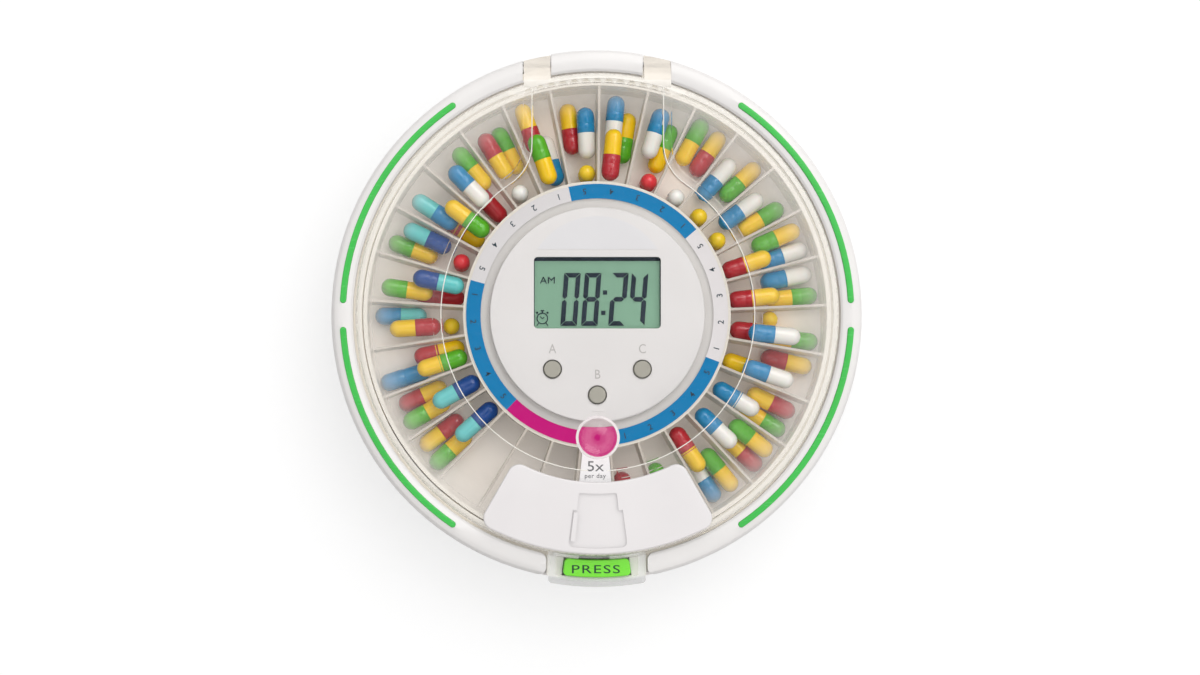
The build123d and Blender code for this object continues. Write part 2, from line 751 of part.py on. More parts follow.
# Hub cover: a flat white cap with a window, three button holes and a lower ledge
with BuildPart() as hub_cover:
    with BuildSketch(Plane.XZ):
        with BuildLine():
            Polyline(
                (0, HUB_TOP),
                (HUB_R, HUB_TOP),
                (HUB_R, HUB_LEDGE_TOP),
                (HUB_LEDGE_R, HUB_LEDGE_TOP),
                (HUB_LEDGE_R, TOWER_TOP),
                (42.0, TOWER_TOP),
                (42.0, HUB_TOP - HUB_SKIN),
                (0, HUB_TOP - HUB_SKIN),
                close=True,
            )
        make_face()
    revolve(axis=Axis.Z)
    top_edge = hub_cover.edges().filter_by(GeomType.CIRCLE).group_by(Axis.Z)[-1]
    fillet(top_edge, 0.6)
    with BuildSketch(Plane.XY.offset(HUB_TOP - HUB_SKIN)):
        with Locations((0, WINDOW_Y)):
            RectangleRounded(WINDOW_W, WINDOW_H, WINDOW_CORNER)
        with Locations(*BUTTON_PLACES.values()):
            Circle(BUTTON_R + 0.25)
    extrude(amount=HUB_SKIN, mode=Mode.SUBTRACT)
hub_cover.part.label = "hub_cover"
export_step(hub_cover.part, "parts/hub_cover.step")

# A glossy label above the window, an arch cut off by a straight lower edge
with BuildPart() as hub_label:
    with BuildSketch(Plane.XY.offset(HUB_TOP)):
        with Locations((0, 11.2)):
            Circle(29.3)
        with Locations((0, 26.8 + 15)):
            Rectangle(70, 30, mode=Mode.INTERSECT)
    extrude(amount=0.15)
hub_label.part.label = "hub_label"
export_step(hub_label.part, "parts/hub_label.step")

with BuildPart() as display_lens:
    with BuildSketch(Plane.XY.offset(47.3)):
        with Locations((0, WINDOW_Y)):
            RectangleRounded(WINDOW_W - 0.2, WINDOW_H - 0.2, WINDOW_CORNER - 0.1)
    extrude(amount=1.4)
display_lens.part.label = "display_lens"
export_step(display_lens.part, "parts/display_lens.step")

with BuildPart() as display_module:
    with BuildSketch(Plane.XY.offset(PCB_TOP)):
        with Locations((0, WINDOW_Y)):
            Rectangle(56, 33)
    extrude(amount=6.3)
display_module.part.label = "display_module"
export_step(display_module.part, "parts/display_module.step")

# Main board with its screw holes
with BuildPart() as main_board:
    with BuildSketch(Plane.XY.offset(PCB_Z)):
        Circle(PCB_R)
        for post_angle in POST_ANGLES:
            with Locations(polar(POST_R, post_angle)):
                Circle(1.3, mode=Mode.SUBTRACT)
    extrude(amount=PCB_TOP - PCB_Z)
main_board.part.label = "main_board"
export_step(main_board.part, "parts/main_board.step")

with BuildPart() as board_screws:
    for post_angle in POST_ANGLES:
        with BuildSketch(Plane.XY.offset(PCB_TOP)):
            with Locations(polar(POST_R, post_angle)):
                Circle(2.5)
        extrude(amount=1.6)
        with BuildSketch(Plane.XY.offset(31)):
            with Locations(polar(POST_R, post_angle)):
                Circle(1.1)
        extrude(amount=PCB_TOP - 31)
board_screws.part.label = "board_screws"
export_step(board_screws.part, "parts/board_screws.step")

# Dome switches under the three buttons
with BuildPart() as button_switches:
    with BuildSketch(Plane.XY.offset(PCB_TOP)):
        with Locations(*BUTTON_PLACES.values()):
            Rectangle(6, 6)
    extrude(amount=2.3)
    with BuildSketch(Plane.XY.offset(PCB_TOP + 2.3)):
        with Locations(*BUTTON_PLACES.values()):
            Circle(1.7)
    extrude(amount=0.6)
button_switches.part.label = "button_switches"
export_step(button_switches.part, "parts/button_switches.step")

for letter, place in BUTTON_PLACES.items():
    with BuildPart() as button:
        with BuildSketch(Plane.XY.offset(46.9)):
            with Locations(place):
                Circle(BUTTON_R)
        extrude(amount=3.0)
        fillet(button.edges().group_by(Axis.Z)[-1], 0.7)
        with BuildSketch(Plane.XY.offset(45.6)):
            with Locations(place):
                Circle(4.9)
        extrude(amount=1.3)
        with BuildSketch(Plane.XY.offset(44.2)):
            with Locations(place):
                Circle(1.5)
        extrude(amount=1.4)
    button.part.label = f"button_{letter}"
    export_step(button.part, f"parts/button_{letter}.step")

with BuildPart() as buzzer:
    with BuildSketch(Plane.XY.offset(33.4)):
        with Locations((0, -10)):
            Circle(6)
    extrude(amount=PCB_Z - 33.4)
    with BuildSketch(Plane.XY.offset(33.4)):
        with Locations((0, -10)):
            Circle(1.2)
    extrude(amount=2, mode=Mode.SUBTRACT)
buzzer.part.label = "buzzer"
export_step(buzzer.part, "parts/buzzer.step")

# Two battery leads, from the bay's rear wall up through the deck to the main board
with BuildPart() as battery_leads:
    for side in (-1, 1):
        with BuildLine() as lead_path:
            FilletPolyline(
                (side * 24, BAY_Y + BAY_WALL, 12),
                (side * 24, 32, 12),
                (side * 24, 32, 35.5),
                (side * 21.5, 28.7, 35.5),
                (side * 21.5, 28.7, PCB_Z),
                radius=1.3,
            )
        with BuildSketch(Plane((side * 24, BAY_Y + BAY_WALL, 12), z_dir=(0, 1, 0))):
            Circle(0.6)
        sweep(path=lead_path.wire())
battery_leads.part.label = "battery_leads"
export_step(battery_leads.part, "parts/battery_leads.step")

# Lid: a shallow clear dome with a raised keyhole, two hinge arms and the latch tongue
raised_outside = raised_zone(0, LID_TOP, RAISED_TOP, RAISED_END_R)
raised_inside = raised_zone(
    -0.5, LID_TOP - LID_SHEET, RAISED_TOP - LID_SHEET, RAISED_END_R - LID_SKIRT
)
with BuildPart() as lid:
    with BuildSketch(Plane.XY.offset(LID_BOTTOM)):
        Circle(LID_R)
    extrude(amount=LID_TOP - LID_BOTTOM)
    fillet(lid.edges().group_by(Axis.Z)[-1], LID_EDGE_FILLET)
    add(raised_outside)
    # Hinge arms, each ending in a knuckle round its pin
    for side in (-1, 1):
        with BuildSketch(Plane.YZ.offset(side * ARM_X - ARM_W / 2)):
            with BuildLine():
                Polyline(
                    (93.5, 46.2),
                    (93.5, 50.4),
                    (96.5, 50.4),
                    (100.2, 49.2),
                    (105.2, 46.2),
                    (107.6, 44.6),
                    (107.6, 43.9),
                    (106.4, 43.0),
                    (HINGE_Y, HINGE_Z),
                    (101.6, 44.3),
                    (99.0, 46.2),
                    close=True,
                )
            make_face()
            with Locations((HINGE_Y, HINGE_Z)):
                Circle(KNUCKLE_R)
        extrude(amount=ARM_W)
    # The arms end in line with the rim
    with BuildSketch(Plane.XY.offset(38)):
        add(ring(ARM_END_R, RIM_R + 8))
        with Locations((0, RIM_R)):
            Rectangle(80, 20, mode=Mode.INTERSECT)
    extrude(amount=12, mode=Mode.SUBTRACT)
    # Latch tongue: a clear frame round the button, with a lip in front to lift it by
    with BuildSketch(Plane.XY.offset(42.0)) as tongue:
        Circle(TONGUE_R)
        with Locations((0, -107)):
            Rectangle(2 * TONGUE_HALF, 22, mode=Mode.INTERSECT)
        fillet(tongue.vertices().sort_by(Axis.Y)[:2], 1.5)
    extrude(amount=3.2)
    with BuildSketch(Plane.XY.offset(38.5)):
        add(ring(110.6, TONGUE_R))
        with Locations((0, -110)):
            Rectangle(2 * TONGUE_HALF - 3, 10, mode=Mode.INTERSECT)
    extrude(amount=4.0)
    with BuildSketch(Plane.XY.offset(42.0)):
        add(ring(100.6, TONGUE_WINDOW_R))
        with Locations((0, -105)):
            Rectangle(2 * TONGUE_WINDOW_HALF, 20, mode=Mode.INTERSECT)
    extrude(amount=10, mode=Mode.SUBTRACT)
    # The catch under the tongue: a stem and a foot that the bolt holds down
    with BuildSketch(Plane.XZ.offset(99.4)):
        with BuildLine():
            Polyline(
                (0, 31.9),
                (4.5, 31.9),
                (4.5, 43),
                (2.6, 43),
                (2.6, 33.5),
                (0, 33.5),
                close=True,
            )
        make_face()
    extrude(amount=1.2)
    # Hollow underneath
    with BuildSketch(Plane.XY.offset(LID_BOTTOM)):
        Circle(LID_R - LID_SKIRT)
    extrude(amount=LID_TOP - LID_SHEET - LID_BOTTOM, mode=Mode.SUBTRACT)
    add(raised_inside, mode=Mode.SUBTRACT)
    # Bores for the pins, the hole for the dose lens and the dispensing mouth
    for side in (-1, 1):
        with BuildSketch(Plane((side * 16, HINGE_Y, HINGE_Z), z_dir=(side, 0, 0))):
            Circle(HINGE_PIN_R + 0.06)
        extrude(amount=18, mode=Mode.SUBTRACT)
    with BuildSketch(Plane.XY.offset(48)):
        with Locations((0, LENS_Y)):
            Circle(LENS_R + 0.05)
        add(mouth(0.4))
    extrude(amount=6, mode=Mode.SUBTRACT)
lid.part.label = "lid"
export_step(lid.part, "parts/lid.step")

# Dose lens: a domed magnifier in the lid, over the dose ring
DOME_RISE = 3.4
DOME_R = (LENS_R**2 + DOME_RISE**2) / (2 * DOME_RISE)
with BuildPart() as dose_lens:
    with BuildSketch(Plane((0, LENS_Y, 0), x_dir=(1, 0, 0), z_dir=(0, -1, 0))):
        with BuildLine():
            Line((0, 50.8), (LENS_R, 50.8))
            Line((LENS_R, 50.8), (LENS_R, RAISED_TOP))
            Line((LENS_R, RAISED_TOP), (LENS_FLANGE_R, RAISED_TOP))
            Line((LENS_FLANGE_R, RAISED_TOP), (LENS_FLANGE_R, RAISED_TOP + 0.5))
            Line((LENS_FLANGE_R, RAISED_TOP + 0.5), (LENS_R, LENS_TOP - DOME_RISE + 0.4))
            RadiusArc((LENS_R, LENS_TOP - DOME_RISE + 0.4), (0, LENS_TOP + 0.4), -DOME_R)
            Line((0, LENS_TOP + 0.4), (0, 50.8))
        make_face()
    revolve(axis=Axis((0, LENS_Y, 0), (0, 0, 1)))
dose_lens.part.label = "dose_lens"
export_step(dose_lens.part, "parts/dose_lens.step")

# Dispensing plate: white cover with the mouth, hollow below where the door slides
with BuildPart() as dispensing_plate:
    with BuildSketch(Plane.XY.offset(LID_TOP)) as plate_outline:
        add(
            ring_sector(
                PLATE_IN_R,
                PLATE_OUT_R,
                270 - PLATE_HALF_ANGLE,
                270 + PLATE_HALF_ANGLE,
            )
        )
        fillet(plate_outline.vertices(), 5.0)
    extrude(amount=PLATE_TOP - LID_TOP)
    fillet(dispensing_plate.edges().group_by(Axis.Z)[-1], 0.8)
    with BuildSketch(Plane.XY.offset(LID_TOP)):
        add(ring_sector(DOOR_IN_R - 0.5, DOOR_OUT_R + 0.4, 270 - 8.9, 270 + 21.6))
    extrude(amount=1.5, mode=Mode.SUBTRACT)
    with BuildSketch(Plane.XY.offset(LID_TOP)):
        add(mouth(0))
    extrude(amount=4, mode=Mode.SUBTRACT)
dispensing_plate.part.label = "dispensing_plate"
export_step(dispensing_plate.part, "parts/dispensing_plate.step")

# Sliding door under the plate, with a finger ridge at its left edge
with BuildPart() as sliding_door:
    with BuildSketch(Plane.XY.offset(LID_TOP + 0.2)):
        add(ring_sector(DOOR_IN_R, DOOR_OUT_R, 270 - 8.3, 270 + 8.3))
    extrude(amount=1.0)
    with BuildSketch(Plane.XY.offset(LID_TOP + 0.2)) as ridge_outline:
        add(ring_sector(81.8, 93.8, 270 - 6.9, 270 - 5.7))
        fillet(ridge_outline.vertices(), 0.5)
    extrude(amount=3.0)
sliding_door.part.label = "sliding_door"
export_step(sliding_door.part, "parts/sliding_door.step")

# Latch housing: the well around the button, with the shelf that the bolt slides on
with BuildPart() as latch_housing:
    with BuildSketch(Plane.XY.offset(FLANGE_TOP)):
        add(ring(101.3, 109.8))
        with Locations((0, -105)):
            Rectangle(41.4, 20, mode=Mode.INTERSECT)
    extrude(amount=1.5)
    with BuildSketch(Plane.XY.offset(RIM_SEAT)):
        add(ring(108.7, 109.8))
        with Locations((0, -105)):
            Rectangle(41.4, 20, mode=Mode.INTERSECT)
    extrude(amount=FLANGE_TOP - RIM_SEAT)
    # Cheeks down to a shelf, which has a hole for the button's leg
    with BuildSketch(Plane.XY.offset(29.8)):
        with GridLocations(31.7, 0, 2, 1):
            with Locations((0, -102.5)):
                Rectangle(1.3, 2.6)
    extrude(amount=FLANGE_TOP - 29.8 + 0.4)
    with BuildSketch(Plane.XY.offset(29.8)):
        with Locations((0, -103.1)):
            Rectangle(33, 4.4)
        Circle(105.4, mode=Mode.INTERSECT)
        with Locations((-6, -103.0)):
            Rectangle(5, 3.2, mode=Mode.SUBTRACT)
    extrude(amount=1.0)
    # Hole for the button
    with BuildSketch(Plane.XY.offset(FLANGE_TOP)):
        add(ring_sector(PRESS_IN_R - 2, PRESS_OUT_R + 0.3, 270 - 7.7, 270 + 7.7))
    extrude(amount=1.5, mode=Mode.SUBTRACT)
latch_housing.part.label = "latch_housing"
export_step(latch_housing.part, "parts/latch_housing.step")

# Green latch button: a wedge leg moves the bolt, a post rests on the spring
with BuildPart() as latch_button:
    with BuildSketch(Plane.XY.offset(38.0)) as press_outline:
        add(
            ring_sector(
                PRESS_IN_R + 0.3,
                PRESS_OUT_R,
                270 - PRESS_HALF_ANGLE,
                270 + PRESS_HALF_ANGLE,
            )
        )
        fillet(press_outline.vertices(), 1.8)
    extrude(amount=PRESS_TOP - 38.0)
    fillet(latch_button.edges().group_by(Axis.Z)[-1], 0.6)
    # The cap overhangs, so that it clears the base's edge when it is pressed
    with BuildSketch(Plane.XY.offset(37.0)):
        add(ring(105.5, 112))
    extrude(amount=4.0, mode=Mode.SUBTRACT)
    with BuildSketch(Plane.XY.offset(38.0)):
        with Locations((0, -103.6)):
            Rectangle(29.4, 3.6)
        Circle(105.5, mode=Mode.INTERSECT)
    extrude(amount=1.6)
    with BuildSketch(Plane.XZ.offset(101.6)):
        with BuildLine():
            Polyline(
                (-8.0, 38.5),
                (-8.0, 34.6),
                (-5.2, 31.8),
                (-4.0, 31.8),
                (-4.0, 38.5),
                close=True,
            )
        make_face()
        with BuildLine():
            Polyline((5.2, 38.5), (5.2, 34.0), (7.2, 34.0), (7.2, 38.5), close=True)
        make_face()
    extrude(amount=2.8)
latch_button.part.label = "latch_button"
export_step(latch_button.part, "parts/latch_button.step")

# Steel bolt: slides sideways when the wedge comes down and frees the lid's catch
with BuildPart() as latch_bolt:
    with BuildSketch(Plane.XZ.offset(101.3)):
        with BuildLine():
            Polyline((-11.0, 31.0), (2.2, 31.0), (2.2, 35.0), (-11.0, 35.0), close=True)
        make_face()
        with BuildLine():
            Polyline((-8.65, 35.0), (-4.65, 31.0), (-1.2, 31.0), (-1.2, 35.0), close=True)
        make_face(mode=Mode.SUBTRACT)
    extrude(amount=3.4)
    # Side walls keep the frame in one piece where the slot cuts it
    with BuildSketch(Plane.XZ.offset(101.0)):
        with Locations((-4.4, 33.0)):
            Rectangle(13.2, 4.0)
    extrude(amount=0.4)
    # The finger over the catch's foot
    with BuildSketch(Plane.XZ.offset(99.6)):
        with Locations((1.1, 34.35)):
            Rectangle(2.2, 1.3)
    extrude(amount=1.8)
latch_bolt.part.label = "latch_bolt"
export_step(latch_bolt.part, "parts/latch_bolt.step")

# Arched leaf spring between the shelf and the button's post
with BuildPart() as latch_spring:
    with BuildSketch(Plane.XZ.offset(101.8)):
        with BuildLine():
            ThreePointArc((3.0, 30.85), (6.2, 33.95), (9.4, 30.85))
            Line((9.4, 30.85), (8.9, 30.85))
            ThreePointArc((8.9, 30.85), (6.2, 33.5), (3.5, 30.85))
            Line((3.5, 30.85), (3.0, 30.85))
        make_face()
    extrude(amount=2.4)
latch_spring.part.label = "latch_spring"
export_step(latch_spring.part, "parts/latch_spring.step")

# Capsules are two halves of different colours that meet face to face; the built-up
# halves point along +Z from the joint between them.
JOINT_SHARE = 0.5
with BuildPart() as capsule_half:
    with BuildSketch(Plane.XZ):
        with BuildLine():
            straight = CAPSULE_LENGTH * JOINT_SHARE - CAPSULE_R
            Line((0, 0), (CAPSULE_R, 0))
            Line((CAPSULE_R, 0), (CAPSULE_R, straight))
            JernArc((CAPSULE_R, straight), (0, 1), CAPSULE_R, 90)
            Line((0, straight + CAPSULE_R), (0, 0))
        make_face()
    revolve(axis=Axis.Z)

# Each capsule by its cell's place: angle and mid radius as read in the plan view,
# the colour of its inner half, the colour of its outer half, in the order they went in.
# Cells are counted anticlockwise from the one to the right of the home cell.
CAPSULES = (
    (279.5, 76.5, "red", "red"),
    (291.5, 76.5, "green", "green"),
    (303.5, 82.0, "white", "blue"),
    (309.0, 82.5, "green", "yellow"),
    (304.5, 67.5, "red", "yellow"),
    (317.5, 83.5, "yellow", "red"),
    (322.0, 82.5, "green", "yellow"),
    (317.0, 68.5, "blue", "white"),
    (328.5, 82.5, "yellow", "green"),
    (334.0, 82.0, "yellow", "red"),
    (329.5, 68.0, "blue", "white"),
    (347.0, 82.5, "red", "yellow"),
    (341.5, 67.0, "yellow", "yellow"),
    (340.5, 75.5, "blue", "white"),
    (353.5, 83.0, "yellow", "green"),
    (354.5, 67.0, "red", "yellow"),
    (353.5, 74.0, "blue", "white"),
    (5.5, 83.0, "yellow", "green"),
    (12.0, 82.0, "blue", "white"),
    (6.5, 66.5, "red", "yellow"),
    (18.0, 83.0, "blue", "white"),
    (23.5, 82.5, "green", "yellow"),
    (19.0, 66.5, "red", "yellow"),
    (30.5, 81.0, "yellow", "green"),
    (36.0, 75.5, "blue", "white"),
    (42.5, 83.5, "green", "yellow"),
    (48.5, 77.0, "blue", "white"),
    (55.0, 83.5, "red", "yellow"),
    (61.0, 84.0, "yellow", "green"),
    (66.5, 76.5, "yellow", "green"),
    (72.0, 80.5, "white", "blue"),
    (79.5, 76.5, "green", "yellow"),
    (84.5, 82.0, "white", "blue"),
    (84.5, 67.0, "red", "yellow"),
    (97.5, 80.0, "red", "yellow"),
    (91.5, 77.0, "white", "blue"),
    (104.0, 68.5, "blue", "white"),
    (109.5, 83.5, "red", "yellow"),
    (109.0, 68.5, "yellow", "green"),
    (116.5, 79.0, "yellow", "green"),
    (122.0, 79.0, "yellow", "red"),
    (133.0, 66.5, "darkred", "darkred"),
    (128.5, 80.5, "yellow", "green"),
    (134.5, 75.5, "white", "blue"),
    (146.5, 67.0, "yellow", "darkred"),
    (147.0, 80.0, "blue", "cyan"),
    (142.5, 67.0, "green", "yellow"),
    (159.5, 81.5, "yellow", "green"),
    (153.5, 77.5, "navy", "cyan"),
    (172.0, 66.0, "darkred", "darkred"),
    (172.0, 79.5, "yellow", "green"),
    (166.0, 67.0, "cyan", "navy"),
    (178.0, 81.5, "cyan", "blue"),
    (183.5, 75.5, "red", "yellow"),
    (197.5, 83.5, "blue", "blue"),
    (190.5, 67.0, "yellow", "red"),
    (197.0, 67.0, "green", "yellow"),
    (204.0, 79.5, "yellow", "red"),
    (209.5, 81.0, "yellow", "green"),
    (208.5, 65.0, "navy", "cyan"),
    (216.5, 80.5, "red", "yellow"),
    (222.5, 82.0, "yellow", "green"),
    (221.5, 66.5, "navy", "cyan"),
)

# Round tablets: angle, radius and colour. Two at the same place lie on each other.
BALLS = (
    (32.0, 60.0, "yellow"),
    (32.0, 60.0, "yellow"),
    (44.0, 60.0, "yellow"),
    (44.0, 60.0, "yellow"),
    (56.0, 60.0, "white"),
    (56.0, 60.0, "white"),
    (68.5, 60.5, "red"),
    (68.5, 60.5, "red"),
    (93.5, 60.0, "yellow"),
    (93.5, 60.0, "yellow"),
    (121.5, 60.5, "white"),
    (121.5, 60.5, "white"),
    (158.0, 60.5, "red"),
    (158.0, 60.5, "red"),
    (183.5, 60.5, "yellow"),
    (359.5, 73.5, "yellow"),
)


def cell_number(angle):
    """The cell that an angle falls in, counted from the first divider."""
    return int(((angle - FIRST_DIVIDER) % 360) // CELL_PITCH)


def keep_in_cell(angle, near_radius, half_width):
    """The angle, moved just far enough for a pill of this half width to clear the dividers."""
    middle = FIRST_DIVIDER + (cell_number(angle) + 0.5) * CELL_PITCH
    clear = CELL_WALL / 2 + half_width + PILL_GAP
    room = CELL_PITCH / 2 - degrees(asin(clear / near_radius))
    offset = (angle - middle + 180) % 360 - 180
    return middle + max(-room, min(room, offset))


def axis_of(near, far):
    """The axis of a capsule as an edge, or the centre of a ball as a vertex."""
    return Edge.make_line(near, far) if (far - near).length > 0.01 else Vertex(near)


def settle(near, far, pill_radius, placed):
    """Raises a pill until it clears those already in its cell: level, or leaning outwards."""
    lift = 0.0
    while lift < 16:
        for lean in (0.0, 0.35, 0.7, 1.0):
            ends = (
                Vector(near.X, near.Y, near.Z + lift * (1 - lean)),
                Vector(far.X, far.Y, far.Z + lift),
            )
            free = all(
                axis_of(*ends).distance_to(axis_of(*other[:2])) > pill_radius + other[2] + PILL_GAP
                for other in placed
            )
            if free:
                return ends
        lift += 0.25
    raise ValueError("a pill doesn't fit in its cell")


cells = {number: [] for number in range(CELLS)}
halves = {}
half_span = CAPSULE_LENGTH / 2 - CAPSULE_R
for angle, mid_radius, inner_colour, outer_colour in CAPSULES:
    mid = min(mid_radius, CELL_OUT - CAPSULE_LENGTH / 2 - PILL_GAP)
    mid = max(mid, CELL_IN + CAPSULE_LENGTH / 2 + PILL_GAP)
    number = cell_number(angle)
    angle = keep_in_cell(angle, mid - half_span, CAPSULE_R)
    level = TRAY_FLOOR + CAPSULE_R + PILL_GAP
    near = Vector(*polar(mid - half_span, angle), level)
    far = Vector(*polar(mid + half_span, angle), level)
    near, far = settle(near, far, CAPSULE_R, cells[number])
    cells[number].append((near, far, CAPSULE_R))
    centre = (near + far) / 2
    outwards = (far - near).normalized()
    for colour, way in ((inner_colour, -outwards), (outer_colour, outwards)):
        halves.setdefault(colour, []).append(Plane(centre, z_dir=way).location)

balls = {}
for angle, radius, colour in BALLS:
    number = cell_number(angle)
    angle = keep_in_cell(angle, radius, BALL_R)
    centre = Vector(*polar(radius, angle), TRAY_FLOOR + BALL_R + PILL_GAP)
    centre, _ = settle(centre, centre, BALL_R, cells[number])
    cells[number].append((centre, centre, BALL_R))
    balls.setdefault(colour, []).append(Location(centre))

highest = max(max(end.Z for end in pill[:2]) + pill[2] for cell in cells.values() for pill in cell)
print("highest pill", round(highest, 2))

for colour in sorted(halves):
    with BuildPart() as pills:
        with Locations(*halves[colour]):
            add(capsule_half.part)
        if colour in balls:
            with Locations(*balls[colour]):
                Sphere(BALL_R)
    pills.part.label = f"pills_{colour}"
    export_step(pills.part, f"parts/pills_{colour}.step")
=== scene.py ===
# %% [markdown]
# Electronic pill box.
#
# A round dispenser that lies flat, seen from straight above. A clear lid covers a turning tray
# with one cell for each dose; the hub in the middle has a display and three buttons.
#
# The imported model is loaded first. It stays where it is, in metres, and every piece made here
# sits in the same frame, so nothing has to be fitted afterwards.

import json
from math import cos, hypot, pi, radians, sin

import bmesh
import bpy
from mathutils import Matrix, Vector


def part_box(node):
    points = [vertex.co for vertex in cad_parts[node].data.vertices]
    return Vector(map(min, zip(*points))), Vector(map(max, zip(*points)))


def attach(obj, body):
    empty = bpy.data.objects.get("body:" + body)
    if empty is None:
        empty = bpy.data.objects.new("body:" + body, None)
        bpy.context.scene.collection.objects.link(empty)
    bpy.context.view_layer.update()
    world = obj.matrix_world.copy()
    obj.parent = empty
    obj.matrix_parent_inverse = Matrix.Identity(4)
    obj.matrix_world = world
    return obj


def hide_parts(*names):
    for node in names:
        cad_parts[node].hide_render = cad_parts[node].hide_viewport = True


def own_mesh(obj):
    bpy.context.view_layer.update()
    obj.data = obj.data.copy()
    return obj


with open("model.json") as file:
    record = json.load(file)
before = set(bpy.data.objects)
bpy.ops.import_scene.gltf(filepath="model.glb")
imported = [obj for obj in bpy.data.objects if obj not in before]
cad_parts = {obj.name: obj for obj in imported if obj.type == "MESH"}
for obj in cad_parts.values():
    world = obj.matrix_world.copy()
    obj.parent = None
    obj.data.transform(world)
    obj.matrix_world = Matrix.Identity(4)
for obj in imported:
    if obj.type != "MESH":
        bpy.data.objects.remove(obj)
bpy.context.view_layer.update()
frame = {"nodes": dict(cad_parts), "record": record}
nodes = frame["nodes"]
MM = 0.001
print("CAD nodes", len(nodes))

# %% [markdown]
# A moulded plastic surface is never one flat colour. Large areas vary a little, the mould leaves
# a fine grain, and handling leaves fine rubbed marks that change only the gloss. All plastics of
# the box share this, so it is one node group with its own amount of each for every material.
# Object coordinates are used, which stay on the piece when it moves.

# %% Helpers for node trees
FLOAT = "NodeSocketFloat"
COLOUR = "NodeSocketColor"
VECTOR = "NodeSocketVector"


def new_group(name, inputs, outputs):
    """A shader node group with named inputs (name, kind, default) and outputs (name, kind)."""
    group = bpy.data.node_groups.new(name, "ShaderNodeTree")
    for label, kind, default in inputs:
        socket = group.interface.new_socket(label, in_out="INPUT", socket_type=kind)
        socket.default_value = default
    for label, kind in outputs:
        group.interface.new_socket(label, in_out="OUTPUT", socket_type=kind)
    enter = group.nodes.new("NodeGroupInput")
    leave = group.nodes.new("NodeGroupOutput")
    return group, enter, leave


def add_node(tree, kind, **settings):
    """A node of that kind, with sockets set by name and properties by lower-case name."""
    node = tree.nodes.new(kind)
    for key, value in settings.items():
        if key in node.inputs:
            node.inputs[key].default_value = value
        else:
            setattr(node, key, value)
    return node


def join(tree, source, output, target, field):
    """A link from one node's output to another's input."""
    tree.links.new(source.outputs[output], target.inputs[field])


def maths(tree, operation, *fields):
    """A Math node; a field is a number, or the (node, output) that is joined to it."""
    node = add_node(tree, "ShaderNodeMath", operation=operation)
    for index, field in enumerate(fields):
        if isinstance(field, tuple):
            join(tree, *field, node, index)
        else:
            node.inputs[index].default_value = field
    return node


def spread(tree, source, output, span, result, **settings):
    """A Map Range node that turns one span of an output's values into another."""
    node = add_node(tree, "ShaderNodeMapRange", **settings)
    labels = ("From Min", "From Max", "To Min", "To Max")
    for label, value in zip(labels, (*span, *result)):
        node.inputs[label].default_value = value
    join(tree, source, output, node, "Value")
    return node


print("node helpers ready")

# %% [markdown]
# The group itself: a soft noise shifts the brightness of the colour a little up and down, a
# stretched one does the same to the gloss, and a fine one gives the grain through a bump.

# %% The moulded surface
CLOUD_SPAN = (0.3, 0.7)
RUBBED_SPAN = (0.35, 0.7)
BOTH_WAYS = (-1.0, 1.0)
surface, enter, leave = new_group(
    "moulded_surface",
    [
        ("Colour", COLOUR, (0.8, 0.8, 0.8, 1)),
        ("Cloud", FLOAT, 0.03),
        ("Gloss", FLOAT, 0.3),
        ("Rubbing", FLOAT, 0.08),
        ("Grain", FLOAT, 0.05),
        ("Grain Size", FLOAT, 2500.0),
    ],
    [("Colour", COLOUR), ("Roughness", FLOAT), ("Normal", VECTOR)],
)
place = surface.nodes.new("ShaderNodeTexCoord")
cloud = add_node(surface, "ShaderNodeTexNoise", Scale=28.0, Detail=3.0)
join(surface, place, "Object", cloud, "Vector")
cloud_range = spread(surface, cloud, "Fac", CLOUD_SPAN, BOTH_WAYS)
brightness = maths(surface, "MULTIPLY_ADD", (cloud_range, "Result"), (enter, "Cloud"), 1.0)
tinted = add_node(surface, "ShaderNodeHueSaturation")
join(surface, enter, "Colour", tinted, "Color")
join(surface, brightness, 0, tinted, "Value")
join(surface, tinted, "Color", leave, "Colour")
rubbed = add_node(surface, "ShaderNodeTexNoise", Scale=160.0, Detail=5.0, Roughness=0.62)
stretch = add_node(surface, "ShaderNodeMapping")
stretch.inputs["Rotation"].default_value = (0.3, 0.2, 0.7)
stretch.inputs["Scale"].default_value = (1.0, 6.0, 1.0)
join(surface, place, "Object", stretch, "Vector")
join(surface, stretch, "Vector", rubbed, "Vector")
rubbed_range = spread(surface, rubbed, "Fac", RUBBED_SPAN, BOTH_WAYS)
roughness = maths(
    surface, "MULTIPLY_ADD", (rubbed_range, "Result"), (enter, "Rubbing"), (enter, "Gloss")
)
join(surface, roughness, 0, leave, "Roughness")
grain = add_node(surface, "ShaderNodeTexNoise", Detail=2.0)
join(surface, place, "Object", grain, "Vector")
join(surface, enter, "Grain Size", grain, "Scale")
bump = add_node(surface, "ShaderNodeBump", Distance=0.0002)
join(surface, enter, "Grain", bump, "Strength")
join(surface, grain, "Fac", bump, "Height")
join(surface, bump, "Normal", leave, "Normal")
print("group", surface.name, len(surface.nodes), "nodes")

# %% [markdown]
# Each finish of the box is one material. The shader itself stays in the material, with the
# numbers that are the same all over set on its own sockets, and only colour, gloss and grain
# come from the group. Colours are written as they look on the screen and turned to linear ones.

# %% Plastic finishes


def linear(hex_colour):
    """A colour written as a screen shows it, such as "ffcc00", as linear RGBA."""
    values = [int(hex_colour[i : i + 2], 16) / 255 for i in (0, 2, 4)]
    bright = [((v + 0.055) / 1.055) ** 2.4 if v > 0.04 else v / 12.92 for v in values]
    return (*bright, 1.0)


